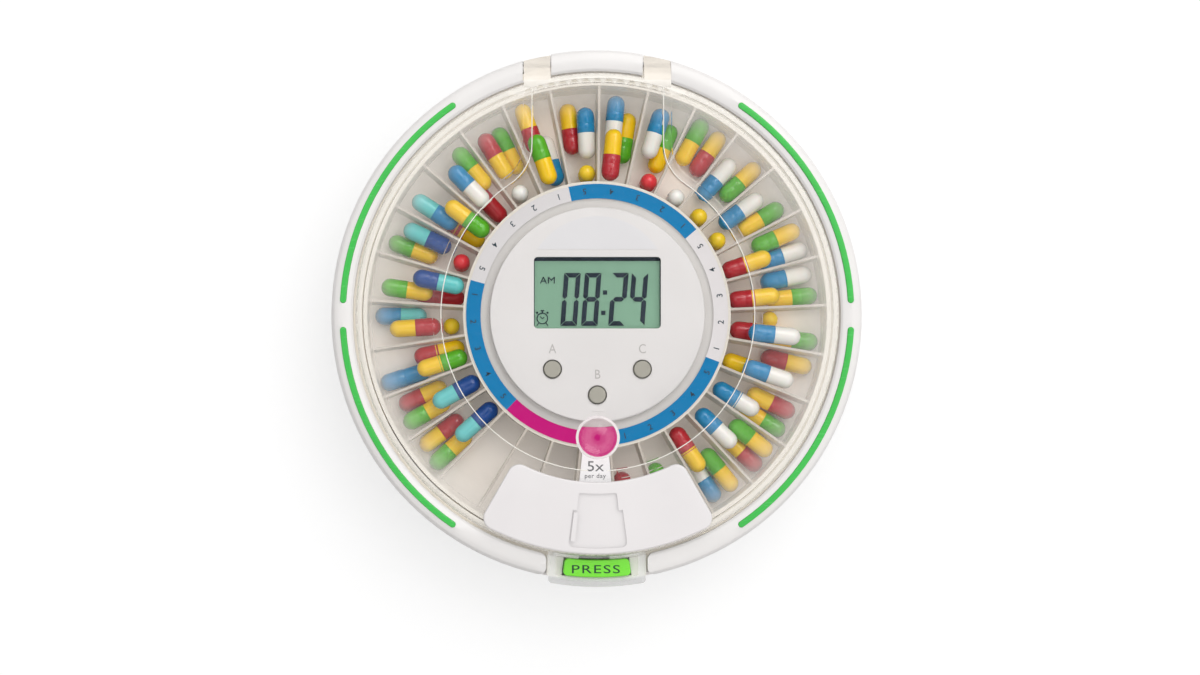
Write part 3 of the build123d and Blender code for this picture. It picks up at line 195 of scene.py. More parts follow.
def plastic(name, colour, gloss=0.3, cloud=0.02, rubbing=0.05, grain=0.05, size=2500.0, **shine):
    """A plastic with the moulded surface; shine sets sockets of the shader, by name."""
    material = bpy.data.materials.new(name)
    material.use_nodes = True
    tree = material.node_tree
    shader = tree.nodes["Principled BSDF"]
    amounts = {"Cloud": cloud, "Gloss": gloss, "Rubbing": rubbing, "Grain": grain}
    finish = add_node(tree, "ShaderNodeGroup", node_tree=surface, Colour=linear(colour), **amounts)
    finish.inputs["Grain Size"].default_value = size
    join(tree, finish, "Colour", shader, "Base Color")
    join(tree, finish, "Roughness", shader, "Roughness")
    join(tree, finish, "Normal", shader, "Normal")
    for socket, value in shine.items():
        shader.inputs[socket.replace("_", " ")].default_value = value
    return material


rim_white = plastic("rim_white", "edeae8", gloss=0.34, grain=0.06)
shell_white = plastic("shell_white", "e6e2de", gloss=0.5, rubbing=0.07, grain=0.35, size=1800)
hub_white = plastic("hub_white", "e6e2e0", gloss=0.42, grain=0.12)
plate_white = plastic("plate_white", "eae6e6", gloss=0.34, grain=0.06)
pan_beige = plastic("pan_beige", "e6dfd2", gloss=0.42, cloud=0.03, grain=0.12)
tray_beige = plastic("tray_beige", "e9e1d4", gloss=0.42, cloud=0.03, grain=0.1)
# Painted shade: the walls' plastic made darker for their cut tops, which catch the most light.
tray_top_painted_shade = plastic("tray_top_painted_shade", "c6bcb0", gloss=0.42, cloud=0.03, grain=0.1)
# Painted light: the walls' plastic made brighter for the floor, which the deep cells leave in
# shade.
tray_floor_painted_light = plastic("tray_floor_painted_light", "fdf3e9", gloss=0.42, cloud=0.03, grain=0.1)
# Painted shade: the hub's plastic made greyer for its low ledge, in the recess round the hub.
ledge_painted_shade = plastic("ledge_painted_shade", "d4d0cc", gloss=0.5, cloud=0.03, grain=0.15)
latch_white = plastic("latch_white", "ebe7e1", gloss=0.35, cloud=0.03, grain=0.1)
button_grey = plastic("button_grey", "aeaa9e", gloss=0.62, cloud=0.04, grain=0.5, size=3500)
foot_rubber = plastic("foot_rubber", "26262a", gloss=0.75, cloud=0.08, grain=0.7, size=2200)
dark_plastic = plastic("dark_plastic", "242528", gloss=0.45, cloud=0.06, grain=0.15)
board_green = plastic("board_green", "14512f", gloss=0.28, cloud=0.08, grain=0.1, size=900)
label_film = plastic("label_film", "e9e7e8", gloss=0.1, rubbing=0.03, grain=0.02)
ink_grey = plastic("ink_grey", "6a6a6c", gloss=0.5, grain=0.02)
ink_dark = plastic("ink_dark", "18313f", gloss=0.5, grain=0.02)
wire_red = plastic("wire_red", "a31a17", gloss=0.5, grain=0.1)
cell_sleeve = plastic("cell_sleeve", "2b3b5c", gloss=0.25, cloud=0.03, grain=0.02)
print("plastics", len(bpy.data.materials))

# %% [markdown]
# Metal parts are small: pins, screws, the latch's bolt and spring. They are steel with a fine
# brushed or tumbled surface, which the same group gives with more grain and a metallic shader.

# %% Metal finishes
steel = plastic("steel", "a9a9ab", gloss=0.3, cloud=0.06, grain=0.3, size=3000, Metallic=1.0)
nickel = plastic("nickel", "c4bfb4", gloss=0.18, cloud=0.03, grain=0.08, Metallic=1.0)
zinc = plastic("zinc", "b2b2b6", gloss=0.36, cloud=0.09, grain=0.2, size=700, Metallic=1.0)
print("metals:", steel.name, nickel.name, zinc.name)

# %% [markdown]
# The green strips and the latch button are coloured right through and let light in, so their
# colour is deep and saturated, and a little of it comes from below the surface.

# %% Green plastics
strip_depth = {"Subsurface_Weight": 0.15, "Subsurface_Scale": 0.002}
press_depth = {"Subsurface_Weight": 0.1, "Subsurface_Scale": 0.002}
strip_green = plastic("strip_green", "46c656", gloss=0.25, cloud=0.05, **strip_depth)
press_green = plastic("press_green", "7fea3e", gloss=0.3, cloud=0.03, **press_depth)
print("greens:", strip_green.name, press_green.name)

# %% [markdown]
# Thin pale mouldings such as the tray let much of the light through, which is why the floors
# of its deep cells are nearly as bright as the walls. A render that scatters light inside every
# wall is slow and noisy, so here a share of the light goes straight through them. The Light Path
# node tells such light apart from what the eye sees. Clear and very thin plastic also lets the
# light through that other surfaces throw back.

# %% Light through thin plastic


def lets_light_pass(material, tint, bounced=False):
    """Light on its way to other surfaces meets a see-through shader of this tint."""
    tree = material.node_tree
    path = tree.nodes.new("ShaderNodeLightPath")
    see_through = tree.nodes.new("ShaderNodeBsdfTransparent")
    see_through.inputs["Color"].default_value = linear(tint)
    shader = tree.nodes["Principled BSDF"]
    for ray in ("Is Shadow Ray", "Is Diffuse Ray") if bounced else ("Is Shadow Ray",):
        blend = tree.nodes.new("ShaderNodeMixShader")
        join(tree, path, ray, blend, 0)
        join(tree, shader, 0, blend, 1)
        join(tree, see_through, 0, blend, 2)
        shader = blend
    join(tree, shader, 0, tree.nodes["Material Output"], "Surface")


for thin in (tray_beige, tray_top_painted_shade):
    lets_light_pass(thin, "f5f4f2", bounced=True)
lets_light_pass(plate_white, "dedede", bounced=True)
for pale in (pan_beige, rim_white):
    lets_light_pass(pale, "dedede")
print("light passes tray, plate, pan and rim")

# %% [markdown]
# Clear plastic: fine rubbing from the group makes its reflections uneven, as on a handled lid.
# It bends light less than solid acrylic would, because the thin lid has the same slope inside
# and outside, and print below it stays easy to read.

# %% Clear plastics


def clear_plastic(name, colour, gloss, through=1.0, tint=None, bend=1.2, coat=0.6):
    """Glassy plastic; through below 1 leaves it milky, tint is the light that comes through."""
    material = plastic(name, colour, gloss=gloss, cloud=0.0, rubbing=0.02, grain=0.008)
    shader = material.node_tree.nodes["Principled BSDF"]
    shader.inputs["Transmission Weight"].default_value = through
    shader.inputs["IOR"].default_value = bend
    shader.inputs["Coat Weight"].default_value = coat
    lets_light_pass(material, tint or colour, bounced=True)
    return material


lid_clear = clear_plastic("lid_clear", "ffffff", 0.02)
lid_slope = clear_plastic("lid_slope", "ffffff", 0.02, bend=1.03)
lid_hazy = clear_plastic("lid_hazy", "ffffff", 0.03, through=0.975)
# Painted highlight: the thick edge is made milky white for the light its rounded top catches.
lid_edge_painted_highlight = clear_plastic("lid_edge_painted_highlight", "faf6ef", 0.12, through=0.35, tint="ffffff")
lid_side = clear_plastic("lid_side", "f4f0ea", 0.1, through=0.7, tint="ffffff")
arm_clear = clear_plastic("arm_clear", "f7f0e6", 0.1, through=0.4, tint="ffffff")
tongue_clear = clear_plastic("tongue_clear", "ffffff", 0.05, through=0.8)
lens_clear = clear_plastic("lens_clear", "fffafc", 0.02, bend=1.52, coat=0.0)
# Painted highlight: the lens's rim is made milky white for the light its rounded edge catches.
lens_rim_painted_highlight = clear_plastic("lens_rim_painted_highlight", "fbf6f6", 0.08, through=0.65, tint="ffffff")
window_clear = clear_plastic("window_clear", "fbfdfb", 0.04)
print("materials", len(bpy.data.materials))

# %% [markdown]
# The loaded CAD meshes are loose triangles, which look faceted on curved surfaces. Where a
# node's shape is already right, a copy of it is merged and shaded smooth up to a given angle,
# and the copy stands for the node. The loaded mesh itself isn't touched.

# %% Smooth copies of CAD nodes


def link(thing):
    """Puts an object into the scene."""
    bpy.context.scene.collection.objects.link(thing)
    return thing


def shade(mesh, angle=35):
    """Smooth shading, with edges sharper than the angle kept sharp."""
    mesh.shade_smooth()
    mesh.set_sharp_from_angle(angle=radians(angle))


def finished(work, name, *materials):
    """A bmesh as a mesh with its materials; the bmesh is used up."""
    mesh = bpy.data.meshes.new(name)
    work.to_mesh(mesh)
    work.free()
    for material in materials:
        mesh.materials.append(material)
    return mesh


def smooth_copy(node, body, slot, *materials, angle=35):
    """A merged, smooth copy of a CAD node that stands for it."""
    mesh = nodes[node].data.copy()
    mesh.name = node + "_shown"
    work = bmesh.new()
    work.from_mesh(mesh)
    bmesh.ops.remove_doubles(work, verts=work.verts, dist=1e-6)
    work.to_mesh(mesh)
    work.free()
    mesh.materials.clear()
    for material in materials:
        mesh.materials.append(material)
    mesh.polygons.foreach_set("material_index", [0] * len(mesh.polygons))
    if "custom_normal" in mesh.attributes:
        mesh.attributes.remove(mesh.attributes["custom_normal"])
    shade(mesh, angle)
    thing = link(bpy.data.objects.new(node + "_shown", mesh))
    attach(thing, body)
    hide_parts(node)
    return thing


print("copy helpers ready")

# %% [markdown]
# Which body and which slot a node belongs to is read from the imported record. The table below
# gives each node its finish. The lid, the dose ring, the display and the pills come later.

# %% A finish for each node
BODY_OF = {
    node: body
    for body, members in frame["record"]["behaviour"]["bodies"].items()
    for node in members
}
SLOT_OF = {part["node"]: part["material_slot"] for part in frame["record"]["subparts"]}
FINISHES = {
    "base_shell": shell_white,
    "rubber_feet": foot_rubber,
    "base_screws": steel,
    "battery_door": shell_white,
    "aa_cells": cell_sleeve,
    "battery_contacts": nickel,
    "battery_leads": wire_red,
    "inner_pan": pan_beige,
    "pan_wall": pan_beige,
    "hub_tower": pan_beige,
    "rim_ring": rim_white,
    "hinge_pins": steel,
    "light_strip_right_rear": strip_green,
    "light_strip_left_rear": strip_green,
    "light_strip_left_front": strip_green,
    "light_strip_right_front": strip_green,
    "light_boards": board_green,
    "drive_motor": zinc,
    "motor_screws": steel,
    "drive_pinion": dark_plastic,
    "tray_floor": tray_floor_painted_light,
    "tray_inner_wall": tray_beige,
    "tray_outer_wall": tray_beige,
    "tray_dividers": tray_beige,
    "tray_gear": tray_beige,
    "index_magnet": nickel,
    "index_sensor": dark_plastic,
    "hub_cover": hub_white,
    "hub_label": label_film,
    "display_lens": window_clear,
    "main_board": board_green,
    "board_screws": steel,
    "button_switches": dark_plastic,
    "button_a": button_grey,
    "button_b": button_grey,
    "button_c": button_grey,
    "buzzer": dark_plastic,
    "dose_lens": lens_clear,
    "dispensing_plate": plate_white,
    "sliding_door": plate_white,
    "latch_housing": latch_white,
    "latch_button": press_green,
    "latch_bolt": steel,
    "latch_spring": steel,
}
shown = {
    node: smooth_copy(node, BODY_OF[node], SLOT_OF[node], material)
    for node, material in FINISHES.items()
}
print("smooth copies", len(shown))

# %% [markdown]
# Three of the copies need a second finish on some of their faces, and each one is painted
# light: the lens's rim is painted milky white as a painted highlight, the cut tops of the tray's
# walls are painted darker than their sides as painted shade, and the hub's low ledge, in the
# recess round the hub, is painted greyer than its top as painted shade.

# %% Second finishes
LENS_Y = -50.7
LENS_CLEAR_R = 7.9
WALL_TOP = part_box("tray_dividers")[1].z / MM
WALL_RIM = 0.3
HUB_R = 44.3
LEDGE_TOP = 46.0


def second_finish(node, material, chosen):
    """Gives the faces whose middle, in millimetres, is chosen another material."""
    mesh = shown[node].data
    mesh.materials.append(material)
    for face in mesh.polygons:
        face.material_index = 1 if chosen(*(c / MM for c in face.center)) else 0


second_finish("dose_lens", lens_rim_painted_highlight, lambda x, y, z: hypot(x, y - LENS_Y) > LENS_CLEAR_R)
second_finish("tray_dividers", tray_top_painted_shade, lambda x, y, z: z > WALL_TOP - WALL_RIM)
second_finish("hub_cover", ledge_painted_shade, lambda x, y, z: z < LEDGE_TOP and hypot(x, y) > HUB_R)
print("tray walls end at", round(WALL_TOP, 2), "mm")

# %% [markdown]
# The lid is one clear moulding, but it doesn't look the same all over: the raised keyhole zone
# over the hub is polished, the zone outside it is slightly milky, and the thick edge, hinge
# arms and tongue catch the light and look pale. The band of the thick edge is painted milky
# white, a painted highlight for the light its rounded top catches. The faces of the copy are
# told apart by where they are in plan. Two are told apart by how steep they are too: the
# tongue's upright sides get the same painted highlight, and the short slope at the front hardly
# bends what is seen through it.

# %% The lid
RAISED_R = 64.4
NECK_HALF = 27.0
LID_EDGE_R = 96.8
LID_SIDE_R = 99.0
LID_R = 99.7
NECK_FROM = 40.0
SLACK = 0.2
SLOPE_HALF = 9.0
SLOPE_FROM, SLOPE_TO = -71.0, -63.0
UPRIGHT = 0.7
LEVEL = 0.995
RAISED, OUTER, EDGE, ARM, TONGUE, SIDE, SLOPE = range(7)


def lid_zone(x, y, facing_up):
    """Which material a face of the lid has, from its middle, in millimetres, and its normal."""
    radius = hypot(x, y)
    if abs(x) < SLOPE_HALF and SLOPE_FROM < y < SLOPE_TO and facing_up < LEVEL:
        return SLOPE
    if radius > LID_R + SLACK:
        if y > 0:
            return ARM
        return EDGE if facing_up < UPRIGHT else TONGUE
    if radius > LID_EDGE_R:
        return EDGE if radius < LID_SIDE_R else SIDE
    neck = abs(x) < NECK_HALF + SLACK and y > NECK_FROM
    return RAISED if radius < RAISED_R + SLACK or neck else OUTER


lid_finishes = (lid_clear, lid_hazy, lid_edge_painted_highlight, arm_clear, tongue_clear, lid_side, lid_slope)
lid = smooth_copy("lid", "lid", SLOT_OF["lid"], *lid_finishes, angle=28)
for face in lid.data.polygons:
    middle = face.center
    face.material_index = lid_zone(middle.x / MM, middle.y / MM, abs(face.normal.z))
print("lid faces", len(lid.data.polygons))

# %% [markdown]
# The upper edge of the keyhole catches the light as one thin bright line. That highlight is
# painted: a fine opaque cream bead, a painted highlight, follows the lid's own mesh along the
# edges at the height of the raised top whose two faces meet at an angle, apart from those over
# the ring's tab. They are walked into chains, and each chain becomes a curve with a round
# section. What is still left to walk is kept in a dictionary and not in a set, because a set's
# order can change from run to run.

# %% The bright line round the keyhole
LINE_R = 0.2
LINE_SINK = 0.06
RAISED_TOP = 52.4 * MM
NEAR = 0.02 * MM
LINE_LEAST_R = 60 * MM
LINE_HALF = 66 * MM
LINE_FRONT, LINE_REAR = -66 * MM, 92 * MM
LINE_ANGLE = radians(8)
TAB_X = -0.8
TAB_HALF = 7.0
# Painted highlight: the bead is opaque cream, standing for the light along the keyhole's edge.
keyhole_painted_highlight = plastic("keyhole_painted_highlight", "fffbf2", gloss=0.3, cloud=0.0, grain=0.0)


def chains(edges):
    """Edges walked end to end into lists of points."""
    by_vertex = {}
    for edge in edges:
        for vertex in edge.verts:
            by_vertex.setdefault(vertex, []).append(edge)
    left = dict.fromkeys(edges)
    while left:
        ends = [e for e in left if any(len(by_vertex[v]) == 1 for v in e.verts)]
        edge = ends[0] if ends else next(iter(left))
        start = min(edge.verts, key=lambda v: len(by_vertex[v]))
        points = [start.co.copy()]
        while edge:
            del left[edge]
            start = edge.other_vert(start)
            points.append(start.co.copy())
            edge = next((e for e in by_vertex[start] if e in left), None)
        yield points


def on_the_line(edge):
    """Whether an edge of the lid belongs to the keyhole's bright line."""
    places = [vertex.co for vertex in edge.verts]
    over_tab = all(p.y < 0 and abs(p.x - TAB_X * MM) < TAB_HALF * MM for p in places)
    return (
        all(abs(p.z - RAISED_TOP) < NEAR for p in places)
        and all(p.xy.length > LINE_LEAST_R and abs(p.x) < LINE_HALF for p in places)
        and LINE_FRONT < min(p.y for p in places) < LINE_REAR
        and edge.calc_face_angle(0) > LINE_ANGLE
        and not over_tab
    )


lid_work = bmesh.new()
lid_work.from_mesh(lid.data)
outline = [edge for edge in lid_work.edges if on_the_line(edge)]
line_curve = bpy.data.curves.new("keyhole_line", "CURVE")
line_curve.dimensions = "3D"
line_curve.bevel_depth = LINE_R * MM
line_curve.bevel_resolution = 1
for points in chains(outline):
    spline = line_curve.splines.new("POLY")
    spline.points.add(len(points) - 1)
    for point, corner in zip(spline.points, points):
        point.co = (corner.x, corner.y, corner.z - LINE_SINK * MM, 1)
lid_work.free()
line_source = bpy.data.objects.new("keyhole_line", line_curve)
line_mesh = bpy.data.meshes.new_from_object(line_source)
bpy.data.objects.remove(line_source)
line_mesh.name = "keyhole_line"
line_mesh.materials.clear()
line_mesh.materials.append(keyhole_painted_highlight)
shade(line_mesh)
keyhole_line = link(bpy.data.objects.new("keyhole_line", line_mesh))
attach(keyhole_line, "lid")
print("keyhole line", len(outline), "edges,", len(line_mesh.polygons), "faces")

# %% [markdown]
# The dose ring is printed: sections of blue and white with five numbers each, and the magenta
# section that shows under the lens. The sections are bands of angle about the hub, so the colour
# is worked out from the angle of each point, with a stepped colour ramp. Its tab is white.

# %% The printed dose ring
RING_EDGE_R = 56.8
TAB_WHITE = "fffcfc"
SECTIONS = [
    (40.2, "1580b8"),
    (102.0, "dfdbdb"),
    (164.0, "1580b8"),
    (226.2, "cc0f7c"),
    (275.9, "1580b8"),
    (338.3, "e6e1e1"),
]


def flat_radius(tree, where):
    """How far a point is from the hub's axis, from a Texture Coordinate node."""
    flat = add_node(tree, "ShaderNodeVectorMath", operation="MULTIPLY")
    join(tree, where, "Object", flat, 0)
    flat.inputs[1].default_value = (1, 1, 0)
    length = add_node(tree, "ShaderNodeVectorMath", operation="LENGTH")
    join(tree, flat, 0, length, 0)
    return length


def ring_material():
    """Blue, white and magenta sections about the hub; white past the ring, on the tab."""
    material = plastic("dose_ring_print", "ffffff", gloss=0.16, cloud=0.0, grain=0.04)
    tree = material.node_tree
    finish = next(n for n in tree.nodes if n.type == "GROUP")
    where = tree.nodes.new("ShaderNodeTexCoord")
    parts = tree.nodes.new("ShaderNodeSeparateXYZ")
    join(tree, where, "Object", parts, "Vector")
    angle = maths(tree, "ARCTAN2", (parts, "Y"), (parts, "X"))
    turn = maths(tree, "MULTIPLY_ADD", (angle, 0), 1 / (2 * pi), 1.0)
    wrap = maths(tree, "FRACT", (turn, 0))
    ramp = tree.nodes.new("ShaderNodeValToRGB")
    ramp.color_ramp.interpolation = "CONSTANT"
    stops = ramp.color_ramp.elements
    stops[0].position = 0.0
    stops[0].color = linear(SECTIONS[-1][1])
    stops[1].position = SECTIONS[0][0] / 360
    stops[1].color = linear(SECTIONS[0][1])
    for start, colour in SECTIONS[1:]:
        stops.new(start / 360).color = linear(colour)
    join(tree, wrap, 0, ramp, "Fac")
    radius = flat_radius(tree, where)
    beyond = maths(tree, "GREATER_THAN", (radius, "Value"), RING_EDGE_R * MM)
    pick = add_node(tree, "ShaderNodeMix", data_type="RGBA")
    join(tree, beyond, 0, pick, 0)
    join(tree, ramp, "Color", pick, 6)
    pick.inputs[7].default_value = linear(TAB_WHITE)
    join(tree, pick, 2, finish, "Colour")
    lets_light_pass(material, "d4d4d4", bounced=True)
    return material


smooth_copy("dose_ring", "tray", SLOT_OF["dose_ring"], ring_material())
print("ring sections", len(SECTIONS))

# %% [markdown]
# Lettering is printed: a text curve with the built-in typeface, turned into a mesh and laid a
# few hundredths of a millimetre above the surface that carries it. A text's own place is put
# into its mesh, so that its object stays at the origin like every other piece.

# %% Printed words and numbers
PRINT_LIFT = 0.04
CAPITAL_SHARE = 0.72


def lettering(name, text, height, place, turn=0.0, relief=0.0, wide=1.0, space=1.0, bold=0.0):
    """A mesh of text centred on place, in millimetres; turn is in degrees."""
    curve = bpy.data.curves.new(name, "FONT")
    curve.body = text
    curve.align_x = "CENTER"
    curve.align_y = "CENTER"
    curve.size = height * MM / CAPITAL_SHARE
    curve.space_character = space
    curve.extrude = relief * MM
    curve.offset = bold * MM
    curve.resolution_u = 4
    source = bpy.data.objects.new(name, curve)
    mesh = bpy.data.meshes.new_from_object(source)
    bpy.data.objects.remove(source)
    mesh.name = name
    where = Matrix.Translation([c * MM for c in place]) @ Matrix.Rotation(radians(turn), 4, "Z")
    mesh.transform(where @ Matrix.Diagonal((wide, 1, 1, 1)))
    return mesh


def merged(name, meshes, material, body):
    """Several meshes as one piece."""
    work = bmesh.new()
    for mesh in meshes:
        work.from_mesh(mesh)
        bpy.data.meshes.remove(mesh)
    thing = link(bpy.data.objects.new(name, finished(work, name, material)))
    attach(thing, body)
    return thing


print("lettering ready")

# %% [markdown]
# Each section of the ring counts its doses from 1 to 5, read from outside. The tab says how many
# doses a day the ring is for.

# %% Numbers and words of the dose ring
PRINT_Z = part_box("dose_ring")[1].z / MM + PRINT_LIFT
NUMBER_R = 51.3
NUMBER_HEIGHT = 2.5
DOSES = 5
SECTION_NUMBERS = [
    (46.0, 12.45),
    (108.0, 12.5),
    (170.5, 12.6),
    (283.0, 12.35),
    (344.3, 12.35),
]
numbers = []
for first, step in SECTION_NUMBERS:
    for count in range(DOSES):
        angle = first + count * step
        along = NUMBER_R * cos(radians(angle))
        across = NUMBER_R * sin(radians(angle))
        name, figure = f"number_{len(numbers)}", str(count + 1)
        at = (along, across, PRINT_Z)
        numbers.append(lettering(name, figure, NUMBER_HEIGHT, at, turn=angle + 90, bold=0.04))
merged("ring_numbers", numbers, ink_dark, "tray")

count_at = (TAB_X, -62.7, PRINT_Z)
rate_at = (TAB_X, -66.5, PRINT_Z)
tab_words = [
    lettering("tab_count", "5x", 4.3, count_at, wide=1.2),
    lettering("tab_rate", "per day", 1.9, rate_at, space=1.1, bold=0.02),
]
merged("tab_words", tab_words, ink_grey, "tray")
print("ring numbers", len(numbers))

# %% [markdown]
# The display shows a time with seven-segment digits. The segments of a digit fit together with
# mitred ends and a fine gap, so each is a bar with slanted ends, longer on its outer side.
# Every corner is leaned to the right with its height.

# %% The digits' segments
PANEL_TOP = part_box("display_module")[1].z / MM
DIGIT_W = 6.8
DIGIT_H = 21.8
DIGIT_SLANT = 0.076
BAR = 1.9
BAR_GAP = 0.16
LIT = {"0": "abcdef", "2": "abged", "4": "fgbc", "8": "abcdefg"}
DIGIT_BASE_Y = -4.5
DIGITS = [(-15.2, "0"), (-6.65, "8"), (4.55, "2"), (12.7, "4")]
COLON = [(3.25, 9.2), (2.55, 0.8)]
COLON_HALF = 0.88


def shape(work, points, shift):
    """One flat face, leaning with its digit."""
    corners = [
        work.verts.new(((x + y * DIGIT_SLANT + shift) * MM, (y + DIGIT_BASE_Y) * MM, 0))
        for x, y in points
    ]
    work.faces.new(corners)


def digit(work, shift, lit):
    """A seven-segment digit whose lower left corner stands at shift."""
    half, gap = BAR / 2, BAR_GAP
    wide, high, middle = DIGIT_W, DIGIT_H, DIGIT_H / 2
    left, right = BAR + gap, wide - BAR - gap
    level = {
        "a": [(gap, high), (wide - gap, high), (right, high - BAR), (left, high - BAR)],
        "d": [(gap, 0), (wide - gap, 0), (right, BAR), (left, BAR)],
        "g": [
            (half + gap, middle),
            (left, middle + half),
            (right, middle + half),
            (wide - half - gap, middle),
            (right, middle - half),
            (left, middle - half),
        ],
    }
    upright = [
        (0, gap),
        (BAR, BAR + gap),
        (BAR, middle - half - gap),
        (half, middle - gap),
        (0, middle - half),
    ]
    for name in lit:
        if name in level:
            shape(work, level[name], shift)
            continue
        points = upright
        if name in "bc":
            points = [(wide - x, y) for x, y in points]
        if name in "bf":
            points = [(x, high - y) for x, y in points]
        shape(work, points, shift)


print("digits", "".join(figure for _, figure in DIGITS))

# %% [markdown]
# Everything on the display is flat. It is drawn at height 0, then laid at its own height with
# its faces turned up, and made a piece. The digits and signs lie just above the pale green panel.

# %% Flat pieces, panel and digits
DISPLAY_LIFT = 0.3


def flat_piece(name, work, z, material, body, slot):
    """A flat bmesh laid at height z as a piece of its own."""
    bmesh.ops.translate(work, verts=work.verts, vec=(0, 0, z * MM))
    bmesh.ops.recalc_face_normals(work, faces=work.faces)
    for face in work.faces:
        if face.normal.z < 0:
            face.normal_flip()
    thing = link(bpy.data.objects.new(name, finished(work, name, material)))
    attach(thing, body)
    return thing


lcd_ink = plastic("lcd_ink", "1e2b3d", gloss=0.35, grain=0.0)
lcd_panel = plastic("lcd_panel", "8cb49c", gloss=0.45, cloud=0.05, grain=0.02)
smooth_copy("display_module", "base", SLOT_OF["display_module"], lcd_panel)

segments = bmesh.new()
for shift, figure in DIGITS:
    digit(segments, shift, LIT[figure])
for x, y in COLON:
    made = bmesh.ops.create_grid(segments, x_segments=1, y_segments=1, size=COLON_HALF * MM)
    bmesh.ops.translate(segments, verts=made["verts"], vec=(x * MM, y * MM, 0))
print("display faces", len(segments.faces))
flat_piece("display_digits", segments, PANEL_TOP + DISPLAY_LIFT, lcd_ink, "base", "display")

# %% [markdown]
# Two more small shapes, a flat ring and a straight stroke, give the alarm sign: a clock's face
# with two bells, two feet and two hands. Letters for the morning are printed above it.

# %% The display's signs
CLOCK_X, CLOCK_Y = -22.6, -1.5
CLOCK_OUT, CLOCK_IN = 2.4, 1.98
BELL_X, BELL_Y, BELL_OUT, BELL_IN = 2.15, 2.35, 0.45, 0.05
STROKES = [
    (-1.5, -1.9, -2.3, -3.0, 0.4),
    (1.5, -1.9, 2.3, -3.0, 0.4),
    (0, 2.2, 0, 3.1, 0.45),
    (-0.75, 3.2, 0.75, 3.2, 0.5),
    (0, -0.2, -0.9, 0.8, 0.34),
    (0, -0.2, 0.8, 0.6, 0.34),
]


def flat_ring(work, x, y, outer, inner, steps=28):
    """A flat ring between two circles."""
    loops = []
    for radius in (outer, inner):
        made = bmesh.ops.create_circle(work, segments=steps, radius=radius * MM)
        bmesh.ops.translate(work, verts=made["verts"], vec=(x * MM, y * MM, 0))
        loops += dict.fromkeys(e for v in made["verts"] for e in v.link_edges)
    bmesh.ops.bridge_loops(work, edges=loops)


def stroke(work, x0, y0, x1, y1, wide):
    """A straight stroke from one point to another."""
    along = Vector((x1 - x0, y1 - y0, 0))
    side = Vector((-along.y, along.x, 0)).normalized() * wide / 2
    ends = [Vector((x0, y0, 0)), Vector((x1, y1, 0))]
    corners = [ends[0] - side, ends[1] - side, ends[1] + side, ends[0] + side]
    work.faces.new([work.verts.new(p * MM) for p in corners])


clock = bmesh.new()
flat_ring(clock, CLOCK_X, CLOCK_Y, CLOCK_OUT, CLOCK_IN)
for side in (-1, 1):
    flat_ring(clock, CLOCK_X + side * BELL_X, CLOCK_Y + BELL_Y, BELL_OUT, BELL_IN, 12)
for x0, y0, x1, y1, wide in STROKES:
    stroke(clock, CLOCK_X + x0, CLOCK_Y + y0, CLOCK_X + x1, CLOCK_Y + y1, wide)
print("alarm sign faces", len(clock.faces))
flat_piece("display_alarm", clock, PANEL_TOP + DISPLAY_LIFT, lcd_ink, "base", "display")
signs = [lettering("display_am", "AM", 2.9, (-20.4, 14.1, PANEL_TOP + DISPLAY_LIFT), wide=1.12)]
merged("display_words", signs, lcd_ink, "base")

# %% [markdown]
# The display has a dark frame of its own, which shows at the window's upper edge and a little at
# its sides. It lies below the digits.

# %% The display's frame
FRAME_LIFT = 0.1
FRAME_HALF, FRAME_TOP_WIDE, FRAME_SIDE_WIDE = 27.5, 2.4, 1.0
FRAME_X, FRAME_LOW, FRAME_HIGH = 26.3, -6.0, 23.4
frame_work = bmesh.new()
stroke(frame_work, -FRAME_HALF, FRAME_HIGH, FRAME_HALF, FRAME_HIGH, FRAME_TOP_WIDE)
for x in (-FRAME_X, FRAME_X):
    stroke(frame_work, x, FRAME_LOW, x, FRAME_HIGH, FRAME_SIDE_WIDE)
print("frame strokes", len(frame_work.faces))
flat_piece("display_frame", frame_work, PANEL_TOP + FRAME_LIFT, lcd_ink, "base", "display")

# %% [markdown]
# The letters at the three buttons are moulded in low relief, a tenth of a millimetre above the
# hub's cover, and read a shade greyer than it. A flat dark ring on each button is painted
# shade: it stands for the shadow in the gap round the button.

# %% Letters and edges of the buttons
HUB_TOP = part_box("hub_cover")[1].z / MM
BUTTONS = {"A": (-18.5, -14.3), "B": (0.0, -24.8), "C": (18.5, -14.3)}
letter_grey = plastic("letter_grey", "bfbab7", gloss=0.5, grain=0.05)
raised = [
    lettering(f"hub_letter_{letter}", letter, 3.9, (x, y, HUB_TOP), relief=0.1, wide=0.85)
    for letter, (x, y) in BUTTONS.items()
]
merged("hub_letters", raised, letter_grey, "base")

# Painted shade: a dark ring for the shadow in the gap round each button.
button_gap_painted_shade = plastic("button_gap_painted_shade", "5a5952", gloss=0.6, grain=0.1)
EDGE_IN, EDGE_OUT = 3.4, 3.68
EDGE_LIFT = 0.02
for letter in "abc":
    button = f"button_{letter}"
    low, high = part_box(f"button_{letter}")
    middle = (low + high) / 2 / MM
    edge_top = high.z / MM + EDGE_LIFT
    edge_ring = bmesh.new()
    flat_ring(edge_ring, middle.x, middle.y, EDGE_OUT, EDGE_IN, 48)
    flat_piece(f"{button}_edge", edge_ring, edge_top, button_gap_painted_shade, button, "grey_rubber")
    print(button, "edge at", round(edge_top, 2), "mm")

# %% [markdown]
# Under the middle button the cover has a small raised dash with rounded edges.

